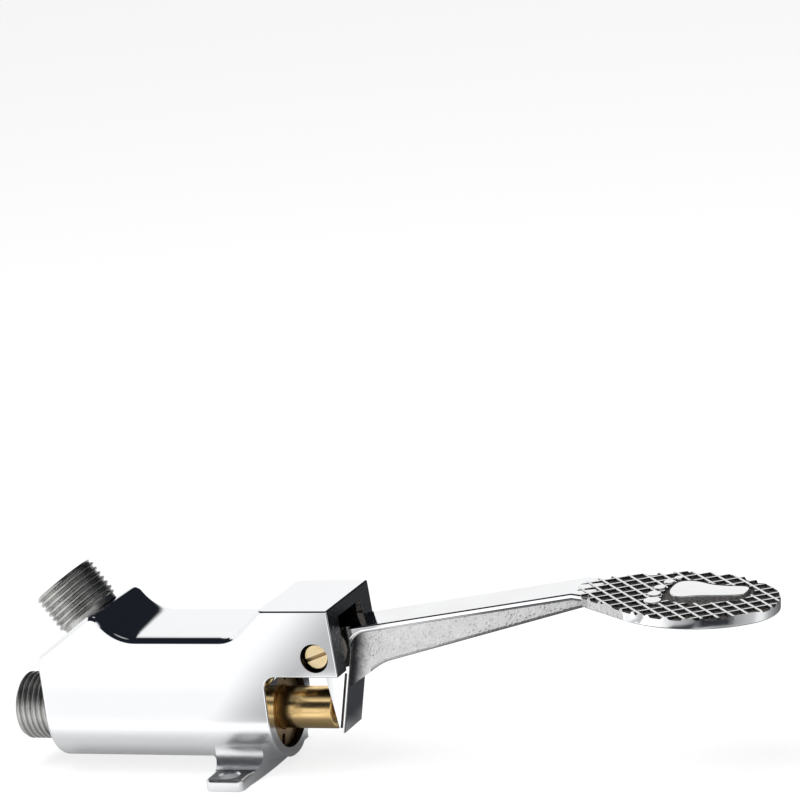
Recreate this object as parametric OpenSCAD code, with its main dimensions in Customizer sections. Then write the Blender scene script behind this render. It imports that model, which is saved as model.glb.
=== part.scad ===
// Foot pedal tap valve: a floor-mounted self-closing valve worked by an oval pedal.
// Millimetres. The origin lies on the underside of the foot, midway between the two screw holes.
// +X points to the pedal and +Z points up. The barrel axis runs along X.

/* [Body casting] */
// Width of the casting across its flat sides, also the diameter of its round underside
body_w = 32.4; // [31.6:0.2:34]
// Height of the barrel's bores above the floor
axis_z = 18.4; // [18:0.1:19]
// Height of the casting's round underside above the floor
belly_z = 3.2; // [2.4:0.1:3.4]
// Distance from the screw holes back to the inlet end
inlet_end = 63; // [62.6:0.2:64]
// Distance from the screw holes forward to the barrel's mouth
mouth = 13.2; // [12.8:0.1:13.8]
// Height of the flat saddle
saddle_z = 45; // [44:0.2:46]
// Height of the hood's top
hood_z = 53.8; // [53:0.2:55]
// Distance from the screw holes to the start of the hood's top
hood_start = 13.6; // [13:0.2:15]
// Distance from the screw holes to the hood's open end, at the top
hood_end = 36.8; // [36:0.2:37]
// How much further out the cheeks reach at their lower edge
hood_rake = 1.2; // [0.6:0.2:1.4]
// Height of the cheeks' lower edge
cheek_z = 33; // [32.4:0.2:33.6]
// Distance from the screw holes back to the outlet boss's ridge
ridge_back = 41.7; // [41:0.1:42.5]
// Height of the outlet boss's ridge
ridge_z = 53.5; // [53:0.1:54]
// Tilt of the outlet boss's face
boss_tilt = 35; // [33:0.5:37]
// Slope of the ramp between ridge and saddle
boss_ramp = 52; // [50:1:56]
// Slope of the ramp between saddle and hood
hood_ramp = 42; // [40:1:46]
// Radius at the foot of the boss ramp
boss_fillet = 14; // [8:0.5:15]
// Radius at the foot of the hood ramp
hood_fillet = 10; // [8:0.5:12]
// Radius of the corner between mouth and cheeks
mouth_fillet = 3.5; // [2:0.5:5]
// Radius along the hood's upper edges
hood_edge_r = 0.8; // [0.5:0.1:1.2]
// Radius of the upright edges at the inlet end
end_r = 3; // [2:0.5:4]

/* [Foot] */
// Distance between the two screw holes
lug_span = 42; // [41:0.5:46]
// Diameter of the screw holes
lug_hole_d = 6; // [5:0.1:6.5]
// Thickness of the screw lugs
lug_t = 3.6; // [3:0.1:4]
// Distance from a hole to the lug's outer edge
lug_margin = 5; // [4.5:0.1:6]
// Length of the lugs along the barrel
lug_len = 12.4; // [11:0.2:14]
// How much longer the foot is under the barrel than at the lugs, on each side
foot_flare = 3; // [1:0.5:4]
// Radius between the lugs and the barrel
lug_fillet = 4.5; // [3:0.5:5]
// Radius of the lugs' corners
lug_corner = 2; // [1:0.2:3]

/* [Hose connections] */
// Outside diameter of the G1/2 thread
thread_d = 20.955; // [20:0.001:21.2]
// Length of the inlet stub outside the body
inlet_len = 13.4; // [12:0.2:15]
// Length of the outlet stub outside the body
outlet_len = 14.4; // [12:0.2:16]
// Bore of the nipples
nipple_bore = 14.5; // [14:0.1:15.5]
// Bore of the waterway through the spring stop and below the outlet
waterway_d = 11; // [9.6:0.2:11.4]
// Length of the plain neck under the outlet thread
neck_len = 1.6; // [1:0.1:2.4]
// Diameter of the plain neck under the outlet thread
neck_d = 19; // [18.6:0.1:19.6]
// Depth that the nipples screw into the body
nipple_in = 5; // [4.5:0.1:5.2]
// Diameter of the inlet nipple's screwed end
inlet_spigot_d = 20; // [19.6:0.1:20.4]
// Diameter of the outlet nipple's screwed end
outlet_spigot_d = 16; // [15.6:0.1:16.4]
// Distance from the ridge to the outlet's axis along the boss's face
outlet_at = 10.4; // [10.2:0.1:12]
// Thickness of the nipples' gaskets
gasket_t = 1.5; // [1:0.1:1.6]
// Distance from the body's inlet end out to the spring stop in the inlet nipple
spring_stop = 4.5; // [4:0.1:6]

/* [Plunger and gland] */
// Diameter of the plunger
plunger_d = 13; // [12:0.1:13.4]
// Radius of the plunger's domed end
dome_r = 16; // [14:0.5:18]
// Diameter of the plunger's stem
stem_d = 5.5; // [5.2:0.1:6]
// Diameter of the stem's threaded end
stem_end_d = 5; // [4:0.1:5]
// Outside diameter of the gland nut
gland_d = 24.7; // [23:0.1:25.5]
// Depth of the gland nut's face inside the mouth
gland_recess = 2; // [1:0.1:2.5]
// Length of the gland nut
gland_len = 9.8; // [9:0.1:11]
// Width of the gland nut's spanner slots
spanner_w = 2.2; // [1.6:0.1:2.6]
// Length of the gland nut's spanner slots
spanner_len = 3.6; // [3:0.1:4]
// Depth of the gland nut's spanner slots
spanner_depth = 3; // [2:0.2:4]
// Turn of the spanner slots from upright
spanner_turn = 20; // [0:1:40]
// Thickness of the gland washer
gland_washer_t = 1; // [0.8:0.1:1.5]
// Thickness of an O-ring
o_ring_d = 2.65; // [2.4:0.05:2.8]
// Thickness of the ring between the O-rings
spacer_t = 2; // [1.5:0.1:2.5]
// Length of the plunger's guide in the body
guide_len = 7; // [6:0.2:9]

/* [Seat and poppet] */
// Distance from the inlet end in to the seat's lip
seat_in = 15; // [14.6:0.1:15.4]
// Height of the seat's lip
lip_h = 1; // [0.6:0.1:1.2]
// Width of the seat's lip
lip_w = 0.8; // [0.6:0.1:1]
// Bore of the seat
seat_bore = 12; // [11:0.2:12.4]
// Outside diameter of the seat ring
seat_d = 17.6; // [17:0.1:18]
// Thickness of the seat ring below its lip
seat_t = 3.5; // [3:0.1:3.8]
// Bore of the outlet chamber behind the seat
chamber_d = 16; // [15:0.2:16.4]
// Bore of the inlet chamber round the poppet
poppet_room_d = 18.6; // [18.3:0.1:19]
// Outside diameter of the poppet's cup
poppet_d = 16.4; // [16:0.1:16.8]
// Wall of the poppet's cup
poppet_wall = 0.55; // [0.4:0.05:0.7]
// Thickness of the cup's floor
poppet_floor = 2.4; // [2:0.1:2.6]
// Depth of the cup's rim round the washer
poppet_rim = 1.5; // [1:0.1:2]
// Thickness of the poppet's rubber washer
poppet_washer_t = 3; // [2.5:0.1:3.2]
// Width of the poppet nut across its flats
nut_af = 8; // [7:0.1:8.2]
// Thickness of the poppet nut
nut_t = 3.8; // [3:0.1:4]
// Thickness of the return spring's wire
spring_wire = 1.4; // [1:0.1:1.5]
// Outside diameter of the return spring
spring_d = 13.2; // [12.8:0.1:13.6]
// Number of turns of the return spring
spring_turns = 5; // [4:1:6]

/* [Pivot] */
// Distance from the screw holes to the pivot
pivot_x = 30.9; // [30.5:0.1:31.3]
// Height of the pivot
pivot_z = 39.1; // [38.6:0.1:39.6]
// Width of the slot between the cheeks
slot_w = 15; // [14.6:0.1:15.6]
// Height of the slot's roof
slot_top = 50; // [49:0.1:50.4]
// Gap between hub and the slot's closed end
slot_gap = 2.8; // [1.5:0.1:4]
// Size of the chamfer at the slot's open end
slot_chamfer = 1.5; // [1:0.1:2]
// Diameter of the pivot pin
pin_d = 6; // [5:0.1:6]
// Diameter of the pivot pin's head
pin_head_d = 8; // [7.4:0.1:8.6]
// Thickness of the pivot pin's head
pin_head_t = 2.4; // [2:0.1:2.8]
// Depth of the pin's head below the cheek's face
pin_recess = 3; // [2:0.1:3.4]
// Diameter of the pin's threaded end
pin_end_d = 5; // [4:0.1:5.4]
// Gap between the pin's head and its counterbore
pin_head_gap = 0.5; // [0.3:0.1:0.6]
// Width and depth of the pin's screwdriver slot
pin_slot = 1; // [0.8:0.1:1.2]
// Turn of the screwdriver slot
pin_slot_turn = 20; // [0:1:90]
// Wall of the pivot bush
bush_wall = 1.5; // [1:0.1:1.8]
// Outside diameter of the hub washers
hub_washer_d = 13; // [11:0.2:14]
// Thickness of the hub washers
hub_washer_t = 0.7; // [0.5:0.05:0.9]

/* [Pedal lever] */
// Radius of the lever's hub
hub_r = 7.4; // [7:0.1:7.8]
// Length of the lever's tail below the pivot
tail_len = 26.7; // [25:0.1:27.5]
// Distance from the pivot to the plane of the tail's pushing face
tail_offset = 2.83; // [2.4:0.01:3.2]
// Lean of the tail's pushing face
tail_lean = 8.9; // [8:0.1:9.6]
// Lean of the tail's outer face
tail_outer_lean = 12.2; // [11.4:0.1:12.6]
// Thickness of the tail at its tip
tail_tip_t = 1.3; // [1:0.1:1.8]
// Width of the arm's flange
flange_w = 17; // [16:0.2:20]
// Thickness of the arm's flange
flange_t = 2.2; // [1.8:0.1:2.6]
// Distance from the pivot to the flange's inner corner
corner_dx = 8.7; // [8.5:0.1:9.5]
// Height of the flange's inner corner above the pivot
corner_dz = 6.9; // [6.5:0.1:7.1]
// Height above the pivot at which the corner's wide part ends
corner_tip_dz = 0.8; // [0.2:0.1:2]
// Radius between the flange and the tail
corner_fillet = 6; // [4:0.5:7]
// Rise of the arm
arm_rise = 8.4; // [7.8:0.1:9]
// Width of the web under the arm
web_w = 9; // [7:0.2:11]
// Depth below the pivot at which the web leaves the tail
web_low = 12.7; // [11:0.1:13.5]
// Distance from the pivot to the knee of the web's lower edge
web_knee_dx = 17; // [15:0.2:19]
// Depth of the knee of the web's lower edge below the pivot
web_knee_dz = 5.2; // [4.6:0.1:6]
// Rise of the web's lower edge
web_rise = 14.6; // [14:0.1:14.8]

/* [Pedal pad] */
// Distance from the screw holes to the middle of the pad
pad_x = 145.5; // [138:0.5:150]
// Height of the tread at the middle of the pad
pad_z = 53.8; // [53:0.1:54.4]
// Slope of the pad
pad_tilt = 5; // [4:0.1:7]
// Length of the pad
pad_len = 53.4; // [50:0.2:56]
// Width of the pad
pad_w = 43.8; // [42:0.2:46]
// Radius of the pad's ends
pad_end_r = 17.5; // [16.5:0.5:19]
// Thickness of the pad over its tread
pad_t = 3.5; // [3.2:0.1:4.2]
// Depth to which the neck's straight sides run in under the pad's edge
neck_sink = 0.6; // [0.4:0.1:1]
// Height of the tread ribs
rib_h = 0.8; // [0.6:0.1:1]
// Distance between tread ribs
rib_pitch = 4.6; // [4:0.1:6]
// Width of a tread rib at its crest
rib_top = 0.7; // [0.5:0.1:1]
// Width of a tread rib at its root
rib_root = 2; // [1.6:0.1:2.4]
// Length of the plain field in the tread
field_len = 30; // [26:0.5:32]
// Width of the plain field in the tread
field_w = 18; // [16:0.5:20]

/* [Fits] */
// Radial clearance of running fits
run_fit = 0.06; // [0.04:0.01:0.08]
// Radial clearance of pieces that are screwed or pressed home
seat_fit = 0.03; // [0.02:0.01:0.05]
// Gap between faces that meet in use
face_gap = 0.3; // [0.2:0.05:0.4]

/* [Hidden] */
$fn = 64;
over = 1;
chrome = [0.86, 0.87, 0.88];
nickel = [0.62, 0.62, 0.60];
brass = [0.80, 0.62, 0.30];
rubber = [0.10, 0.10, 0.10];
steel = [0.55, 0.56, 0.58];
cast_metal = [0.80, 0.80, 0.79];
nylon = [0.92, 0.90, 0.84];
fibre = [0.45, 0.20, 0.14];

// Body outline
half_w = body_w / 2;
barrel_z = belly_z + half_w;
ridge = [-ridge_back, ridge_z];
boss_foot = [ridge.x + (ridge_z - saddle_z) / tan(boss_ramp), saddle_z];
hood_foot = [hood_start - (hood_z - saddle_z) / tan(hood_ramp), saddle_z];
boss_low_z = ridge_z - (inlet_end - ridge_back) * tan(boss_tilt);
cheek_end = hood_end + hood_rake;

// Foot
lug_reach = lug_span / 2 + lug_margin;
lug_arc_y = sqrt(pow(half_w + lug_fillet, 2) - pow(barrel_z - lug_t - lug_fillet, 2));
lug_touch = half_w / (half_w + lug_fillet) * [lug_arc_y, lug_t + lug_fillet - barrel_z] + [0, barrel_z];

// Water passages, as distances along the barrel axis
thread_r = thread_d / 2;
socket_end = -inlet_end + nipple_in + gasket_t;
seat_lip_x = -inlet_end + seat_in;
seat_face = seat_lip_x + lip_h;
seat_end = seat_face + seat_t;
gland_face = mouth - gland_recess;
gland_in = gland_face - gland_len;
washer_in = gland_in - gland_washer_t;
spacer_out = washer_in - o_ring_d;
spacer_in = spacer_out - spacer_t;
shoulder_x = spacer_in - o_ring_d;
guide_end = shoulder_x - guide_len;
seal_r = plunger_d / 2 + run_fit + o_ring_d / 2;
packing_r = plunger_d / 2 + 2 * run_fit + o_ring_d;
ridge_to_axis = outlet_at * [-cos(boss_tilt), 0, -sin(boss_tilt)];
outlet_base = [ridge.x, 0, ridge.y] + ridge_to_axis;
outlet_depth = (outlet_base.z - axis_z) / cos(boss_tilt);
outlet_socket = nipple_in + gasket_t;

// Poppet, as distances along the barrel axis
washer_right = seat_lip_x - face_gap / 2;
washer_left = washer_right - poppet_washer_t;
cup_left = washer_left - poppet_floor;
nut_left = cup_left - nut_t;
stem_tip = nut_left - 1;
collar_len = 2;
collar_d = stem_end_d + 2.8;
stop_x = -inlet_end - spring_stop;

// Pivot and lever
drop = pivot_z - axis_z;
tail_face_x = pivot_x - tail_offset / cos(tail_lean) + drop * tan(tail_lean);
plunger_tip = tail_face_x - (dome_r + face_gap) / cos(tail_lean) + dome_r;
plunger_step = guide_end + 2;
dome_h = dome_r - sqrt(dome_r * dome_r - plunger_d * plunger_d / 4);
hub_w = slot_w - 2 * (hub_washer_t + 2 * run_fit);
slot_back = pivot_x - hub_r - slot_gap;
pin_head_y = -half_w + pin_recess;
bush_d = pin_d + 2 * run_fit + 2 * bush_wall;
tip_x = pivot_x - tail_offset / cos(tail_lean) + tail_len * tan(tail_lean);
tip_z = pivot_z - tail_len;
corner = [pivot_x + corner_dx, pivot_z + corner_dz];
function tail_outer(dz) = tip_x + tail_tip_t + (tail_len + dz) * tan(tail_outer_lean);
inner_corner_dz = corner_dz - flange_t / cos(arm_rise)
    + (tail_outer(corner_dz) - corner.x) * tan(arm_rise);
inner_corner = [tail_outer(inner_corner_dz), pivot_z + inner_corner_dz];
arm_end_x = (pad_z + pad_x * tan(pad_tilt) - corner.y + corner.x * tan(arm_rise))
    / (tan(arm_rise) + tan(pad_tilt));
arm_end_z = pad_z + (pad_x - arm_end_x) * tan(pad_tilt);
web_knee = [pivot_x + web_knee_dx, pivot_z - web_knee_dz];

// Pad, in its own tilted frame
pad_a = pad_len / 2;
pad_b = pad_w / 2;
end_x = pad_a - pad_end_r;
side_r = (end_x * end_x + pad_b * pad_b - pad_end_r * pad_end_r) / (2 * (pad_b - pad_end_r));
touch_x = end_x + pad_end_r * end_x / (side_r - pad_end_r);
neck_x = (arm_end_x - pad_x) / cos(pad_tilt);
neck_far = [-end_x, pad_b - side_r + sqrt(side_r * side_r - end_x * end_x) - neck_sink];
rib_count = floor(sqrt((pad_a * pad_a + pad_b * pad_b) / 2) / rib_pitch);

// Places its children on the barrel axis: their +Z becomes +X, starting at x
module along_barrel(x) {
    translate([x, 0, axis_z]) rotate([0, 90, 0]) children();
}

// A plain round bar on the barrel axis from x0 to x1
module bar(x0, x1, d) {
    along_barrel(x0) cylinder(h = x1 - x0, d = d);
}

// A ring on the barrel axis from x0 to x1
module ring(x0, x1, d, bore) {
    difference() {
        bar(x0, x1, d);
        bar(x0 - over, x1 + over, bore);
    }
}

// Places its children on the outlet's axis: +Z points out of the boss, from its face
module along_outlet() {
    translate(outlet_base) rotate([0, -boss_tilt, 0]) children();
}

// Places its children on the pivot's axis: their +Z becomes +Y, starting at y
module along_pivot(y) {
    translate([pivot_x, y, pivot_z]) rotate([-90, 0, 0]) children();
}

// Extrudes an outline drawn in X and Z to a width across Y
module across(w) {
    rotate([90, 0, 0]) linear_extrude(height = w, center = true) children();
}

// Fills the inner corner at c between edges that leave it at angles a0 and a1
module inner_fillet(c, a0, a1, r) {
    half = abs(a1 - a0) / 2;
    mid = (a0 + a1) / 2;
    reach = r / tan(half);
    centre = c + r / sin(half) * [cos(mid), sin(mid)];
    difference() {
        polygon([c, c + reach * [cos(a0), sin(a0)], centre, c + reach * [cos(a1), sin(a1)]]);
        translate(centre) circle(r = r);
    }
}

// Side outline of the casting, with its saddle between boss and hood
module body_outline() {
    polygon([
        [-inlet_end, belly_z], [-inlet_end, boss_low_z], ridge, boss_foot, hood_foot,
        [hood_start + over / tan(hood_ramp), hood_z + over], [hood_end, hood_z + over], [hood_end, hood_z],
        [cheek_end, cheek_z], [mouth, cheek_z],
        [mouth, belly_z]
    ]);
    inner_fillet(boss_foot, 180 - boss_ramp, 0, boss_fillet);
    inner_fillet(hood_foot, 180, hood_ramp, hood_fillet);
    inner_fillet([mouth, cheek_z], 0, -90, mouth_fillet);
}

// Cross-section of the casting: a round barrel, flat sides above it and the hood's rounded edges
module body_section() {
    inner = half_w - hood_edge_r;
    translate([0, barrel_z]) circle(r = half_w);
    translate([-half_w, barrel_z]) square([body_w, hood_z - hood_edge_r - barrel_z]);
    translate([-inner, barrel_z]) square([2 * inner, hood_z - barrel_z]);
    for (side = [-1, 1]) translate([side * inner, hood_z - hood_edge_r]) circle(r = hood_edge_r);
}

// Plan of the casting, rounded at the inlet end
module body_plan() {
    length = inlet_end + cheek_end + over;
    translate([-inlet_end + end_r, -half_w]) square([length - end_r, body_w]);
    translate([-inlet_end, end_r - half_w]) square([length, body_w - 2 * end_r]);
    for (side = [-1, 1])
        translate([-inlet_end + end_r, side * (half_w - end_r)]) circle(r = end_r);
}

// Cross-section of the foot: two lugs that run into the barrel with hollow curves
module foot_section() {
    difference() {
        polygon([
            [-lug_reach, 0], [lug_reach, 0], [lug_reach, lug_t], [lug_arc_y, lug_t], lug_touch,
            [0, axis_z], [-lug_touch.x, lug_touch.y], [-lug_arc_y, lug_t], [-lug_reach, lug_t]
        ]);
        for (side = [-1, 1])
            translate([side * lug_arc_y, lug_t + lug_fillet]) circle(r = lug_fillet);
    }
}

// Plan of the foot, wider under the barrel, with round corners at the lugs
module foot_plan() {
    half = lug_len / 2;
    inner = lug_reach - lug_corner;
    polygon([
        [-half, -inner], [half, -inner], [half + foot_flare, 0], [half, inner], [-half, inner],
        [-half - foot_flare, 0]
    ]);
    for (side = [-1, 1]) {
        translate([lug_corner - half, side > 0 ? inner - over : -lug_reach])
            square([lug_len - 2 * lug_corner, lug_corner + over]);
        for (end = [-1, 1])
            translate([end * (half - lug_corner), side * inner]) circle(r = lug_corner);
    }
}

// The bores on the barrel axis, the outlet's passage and socket
module water_passages() {
    bar(-inlet_end - over, socket_end, inlet_spigot_d + 2 * seat_fit);
    bar(socket_end - over, seat_face, poppet_room_d);
    bar(seat_face - over, seat_end, seat_d + 2 * seat_fit);
    bar(seat_end - over, guide_end, chamber_d);
    bar(guide_end - over, mouth, plunger_d + 2 * run_fit);
    bar(shoulder_x, mouth, 2 * packing_r);
    bar(gland_in, mouth + over, gland_d + 2 * seat_fit);
    along_outlet() {
        translate([0, 0, -outlet_socket])
            cylinder(h = outlet_socket + over, d = outlet_spigot_d + 2 * seat_fit);
        translate([0, 0, -outlet_depth]) cylinder(h = outlet_depth, d = waterway_d);
    }
}

// The slot for the lever's hub, and the pin's holes through the cheeks
module pivot_slot() {
    length = cheek_end + over - slot_back;
    translate([slot_back, -slot_w / 2, cheek_z - over])
        cube([length, slot_w, slot_top - cheek_z + over]);
    for (side = [-1, 1])
        translate([cheek_end, side * slot_w / 2, cheek_z - over])
            rotate([0, 0, 45])
                translate([-slot_chamfer, -slot_chamfer, 0])
                    cube([2 * slot_chamfer, 2 * slot_chamfer, slot_top - cheek_z + over]);
    along_pivot(-half_w - over) cylinder(h = body_w / 2 + over, d = pin_d + 2 * seat_fit);
    along_pivot(-half_w - over)
        cylinder(h = pin_recess + pin_head_t + over, d = pin_head_d + 2 * pin_head_gap);
    along_pivot(0) cylinder(h = half_w + over, d = pin_end_d + 2 * seat_fit);
}

module valve_body() {
    color(chrome) difference() {
        union() {
            intersection() {
                across(body_w + 2 * over) body_outline();
                translate([-inlet_end - over, 0, 0]) rotate([90, 0, 90])
                    linear_extrude(height = inlet_end + cheek_end + 2 * over) body_section();
                linear_extrude(height = hood_z + over) body_plan();
            }
            intersection() {
                translate([-lug_len, 0, 0]) rotate([90, 0, 90])
                    linear_extrude(height = 2 * lug_len) foot_section();
                linear_extrude(height = axis_z) foot_plan();
            }
        }
        water_passages();
        pivot_slot();
        for (side = [-1, 1])
            translate([0, side * lug_span / 2, -over]) cylinder(h = lug_t + 2 * over, d = lug_hole_d);
    }
}

module inlet_nipple() {
    color(nickel) difference() {
        union() {
            bar(-inlet_end - inlet_len, -inlet_end, thread_d);
            bar(-inlet_end, -inlet_end + nipple_in, inlet_spigot_d);
        }
        bar(-inlet_end - inlet_len - over, stop_x, waterway_d);
        bar(stop_x, -inlet_end + nipple_in + over, nipple_bore);
    }
}

module inlet_gasket() {
    color(fibre) ring(-inlet_end + nipple_in, socket_end, inlet_spigot_d, poppet_room_d - 1);
}

module outlet_nipple() {
    color(nickel) along_outlet() difference() {
        union() {
            translate([0, 0, neck_len]) cylinder(h = outlet_len - neck_len, d = thread_d);
            cylinder(h = neck_len, d = neck_d);
            translate([0, 0, -nipple_in]) cylinder(h = nipple_in, d = outlet_spigot_d);
        }
        translate([0, 0, neck_len]) cylinder(h = outlet_len, d = nipple_bore);
        translate([0, 0, -nipple_in - over]) cylinder(h = outlet_len, d = waterway_d);
    }
}

module outlet_gasket() {
    color(fibre) along_outlet() translate([0, 0, -outlet_socket]) difference() {
        cylinder(h = gasket_t, d = outlet_spigot_d);
        translate([0, 0, -over]) cylinder(h = gasket_t + 2 * over, d = waterway_d);
    }
}

module valve_seat() {
    color(brass) difference() {
        union() {
            bar(seat_face, seat_end, seat_d);
            bar(seat_lip_x, seat_face, seat_bore + 2 * lip_w);
        }
        bar(seat_lip_x - over, seat_end + over, seat_bore);
    }
}

module gland_nut() {
    slot_r = (plunger_d + gland_d) / 4 + 0.5;
    color(brass) difference() {
        ring(gland_in, gland_face, gland_d, plunger_d + 2 * run_fit);
        for (turn = [0, 180])
            along_barrel(gland_face - spanner_depth) rotate([0, 0, turn - spanner_turn])
                translate([slot_r, 0, 0]) {
                    half = (spanner_len - spanner_w) / 2;
                    translate([-half, -spanner_w / 2, 0]) cube([2 * half, spanner_w, spanner_depth + over]);
                    for (end = [-1, 1])
                        translate([end * half, 0, 0]) cylinder(h = spanner_depth + over, d = spanner_w);
                }
    }
}

module gland_washer() {
    color(brass) ring(washer_in, gland_in, 2 * packing_r - 2 * seat_fit, plunger_d + 2 * run_fit);
}

// An O-ring round the plunger, starting at x
module o_ring(x) {
    color(rubber) along_barrel(x + o_ring_d / 2)
        rotate_extrude() translate([seal_r, 0]) circle(d = o_ring_d);
}

module gland_o_ring_outer() {
    o_ring(spacer_out);
}

module gland_o_ring_inner() {
    o_ring(shoulder_x);
}

module seal_spacer() {
    color(brass) ring(spacer_in, spacer_out, 2 * packing_r - 2 * seat_fit, plunger_d + 2 * run_fit);
}

// Half outline of the plunger, with its radius along X and its length along Y
module plunger_outline() {
    translate([0, plunger_step]) square([plunger_d / 2, plunger_tip - dome_h - plunger_step]);
    intersection() {
        translate([0, plunger_tip - dome_h - over]) square([plunger_d / 2, dome_h + 2 * over]);
        translate([0, plunger_tip - dome_r]) circle(r = dome_r);
    }
    translate([0, washer_right]) square([stem_d / 2, plunger_step - washer_right]);
    translate([0, washer_right]) square([collar_d / 2, collar_len]);
    translate([0, stem_tip]) square([stem_end_d / 2, washer_right - stem_tip]);
}

module plunger() {
    color(brass) along_barrel(0) rotate_extrude() plunger_outline();
}

module poppet_washer() {
    color(rubber) ring(washer_left, washer_right, poppet_d - 2 * poppet_wall - 2 * seat_fit,
        stem_end_d + 2 * seat_fit);
}

module poppet_holder() {
    color(brass) difference() {
        bar(cup_left, washer_left + poppet_rim, poppet_d);
        bar(washer_left, washer_left + poppet_rim + over, poppet_d - 2 * poppet_wall);
        bar(cup_left - over, washer_left + over, stem_end_d + 2 * seat_fit);
    }
}

module poppet_nut() {
    color(brass) difference() {
        along_barrel(nut_left) cylinder(h = nut_t, d = nut_af / cos(30), $fn = 6);
        bar(nut_left - over, cup_left + over, stem_end_d + 2 * seat_fit);
    }
}

// A round wire wound as a helix on the barrel axis from x0 to x1
module helix(x0, x1, r, wire, turns) {
    rings = 8 * turns;
    sides = 6;
    pitch = (x1 - x0 - wire) / turns;
    echo(least_gap_between_turns = pitch - wire);
    points = [
        for (i = [0 : rings]) for (j = [0 : sides - 1])
            let (a = 360 * turns * i / rings, b = 360 * j / sides)
            let (reach = r + wire / 2 * cos(b))
            [x0 + wire / 2 + pitch * turns * i / rings + wire / 2 * sin(b), reach * cos(a), reach * sin(a)]
    ];
    walls = [
        for (i = [0 : rings - 1]) for (j = [0 : sides - 1])
            let (a = i * sides + j, b = i * sides + (j + 1) % sides)
            each [[a, a + sides, b], [b, a + sides, b + sides]]
    ];
    caps = [
        for (j = [1 : sides - 2])
            each [[0, j, j + 1], [rings * sides, rings * sides + j + 1, rings * sides + j]]
    ];
    translate([0, 0, axis_z]) polyhedron(points, concat(walls, caps));
}

module return_spring() {
    color(steel) helix(stop_x, cup_left, (spring_d - spring_wire) / 2, spring_wire, spring_turns);
}

// Side outline of the hub with the tail that pushes the plunger
module tail_outline() {
    translate([pivot_x, pivot_z]) circle(r = hub_r);
    polygon([
        [pivot_x, pivot_z + hub_r], [pivot_x - tail_offset / cos(tail_lean), pivot_z], [tip_x, tip_z],
        [tip_x + tail_tip_t, tip_z], inner_corner, corner
    ]);
}

// Side outline of the flange, which turns down at its inner end
module flange_outline() {
    low = [arm_end_x, arm_end_z - flange_t];
    polygon([
        corner, [arm_end_x, arm_end_z], [arm_end_x + flange_t, arm_end_z - flange_t / 2],
        low, inner_corner, [tail_outer(corner_tip_dz), pivot_z + corner_tip_dz]
    ]);
    inner_fillet(inner_corner, -90 - tail_outer_lean, arm_rise, corner_fillet);
}

// Side outline of the web under the arm
module web_outline() {
    run = arm_end_x - web_knee.x;
    polygon([
        [tail_outer(-web_low) - 1, pivot_z - web_low], web_knee,
        [arm_end_x + flange_t, web_knee.y + (run + flange_t) * tan(web_rise)],
        [arm_end_x + flange_t, arm_end_z - flange_t / 2 - 0.5],
        inner_corner + [0, flange_t / 2], inner_corner - [flange_t / 2, 0]
    ]);
}

// Plan of the oval pad, drawn with four arcs
module pad_oval() {
    for (side = [-1, 1]) translate([side * end_x, 0]) circle(r = pad_end_r);
    intersection() {
        square([2 * touch_x, pad_w], center = true);
        translate([0, pad_b - side_r]) circle(r = side_r);
        translate([0, side_r - pad_b]) circle(r = side_r);
    }
}

// Plan of the neck that runs from the arm into the pad
module pad_neck() {
    half = flange_w / 2;
    polygon([[neck_x, -half], [neck_far.x, -neck_far.y], neck_far, [neck_x, half]]);
}

// Plan of the whole pad
module pad_plan() {
    pad_oval();
    pad_neck();
}

// Plain field in the tread, with round ends
module tread_field() {
    half = (field_len - field_w) / 2;
    square([2 * half, field_w], center = true);
    for (side = [-1, 1]) translate([side * half, 0]) circle(d = field_w);
}

// One tread rib across the pad, at a distance from its middle
module tread_rib(offset) {
    translate([-pad_len, offset, -rib_h]) rotate([90, 0, 90]) linear_extrude(height = 2 * pad_len)
        polygon([
            [-rib_root / 2, 0], [rib_root / 2, 0], [rib_top / 2, rib_h], [-rib_top / 2, rib_h]
        ]);
}

// The tread: two sets of ribs that cross in diamonds, open over the plain field
module tread() {
    difference() {
        intersection() {
            translate([0, 0, -rib_h]) linear_extrude(height = rib_h) pad_plan();
            union() {
                for (turn = [45, -45]) rotate([0, 0, turn])
                    for (i = [-rib_count : rib_count]) tread_rib(i * rib_pitch);
            }
        }
        translate([0, 0, -rib_h - over]) linear_extrude(height = rib_h + 2 * over) tread_field();
    }
}

module pedal_pad() {
    translate([pad_x, 0, pad_z]) rotate([0, pad_tilt, 0]) {
        translate([0, 0, -pad_t]) linear_extrude(height = pad_t - rib_h) pad_plan();
        tread();
    }
}

module pedal_lever() {
    color(cast_metal) difference() {
        union() {
            across(hub_w) tail_outline();
            across(flange_w) flange_outline();
            across(web_w) web_outline();
            pedal_pad();
        }
        along_pivot(-hub_w) cylinder(h = 2 * hub_w, d = bush_d + 2 * seat_fit);
    }
}

module pivot_bush() {
    color(nylon) along_pivot(-hub_w / 2) difference() {
        cylinder(h = hub_w, d = bush_d);
        translate([0, 0, -over]) cylinder(h = hub_w + 2 * over, d = pin_d + 2 * run_fit);
    }
}

module pivot_pin() {
    shank_y = pin_head_y + pin_head_t;
    color(brass) difference() {
        union() {
            along_pivot(pin_head_y) cylinder(h = pin_head_t, d = pin_head_d);
            along_pivot(shank_y) cylinder(h = slot_w / 2 - shank_y, d = pin_d);
            along_pivot(slot_w / 2) cylinder(h = half_w - slot_w / 2 - 0.5, d = pin_end_d);
        }
        along_pivot(pin_head_y - over) rotate([0, 0, -pin_slot_turn])
            translate([-pin_head_d, -pin_slot / 2, 0]) cube([2 * pin_head_d, pin_slot, pin_slot + over]);
    }
}

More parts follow.
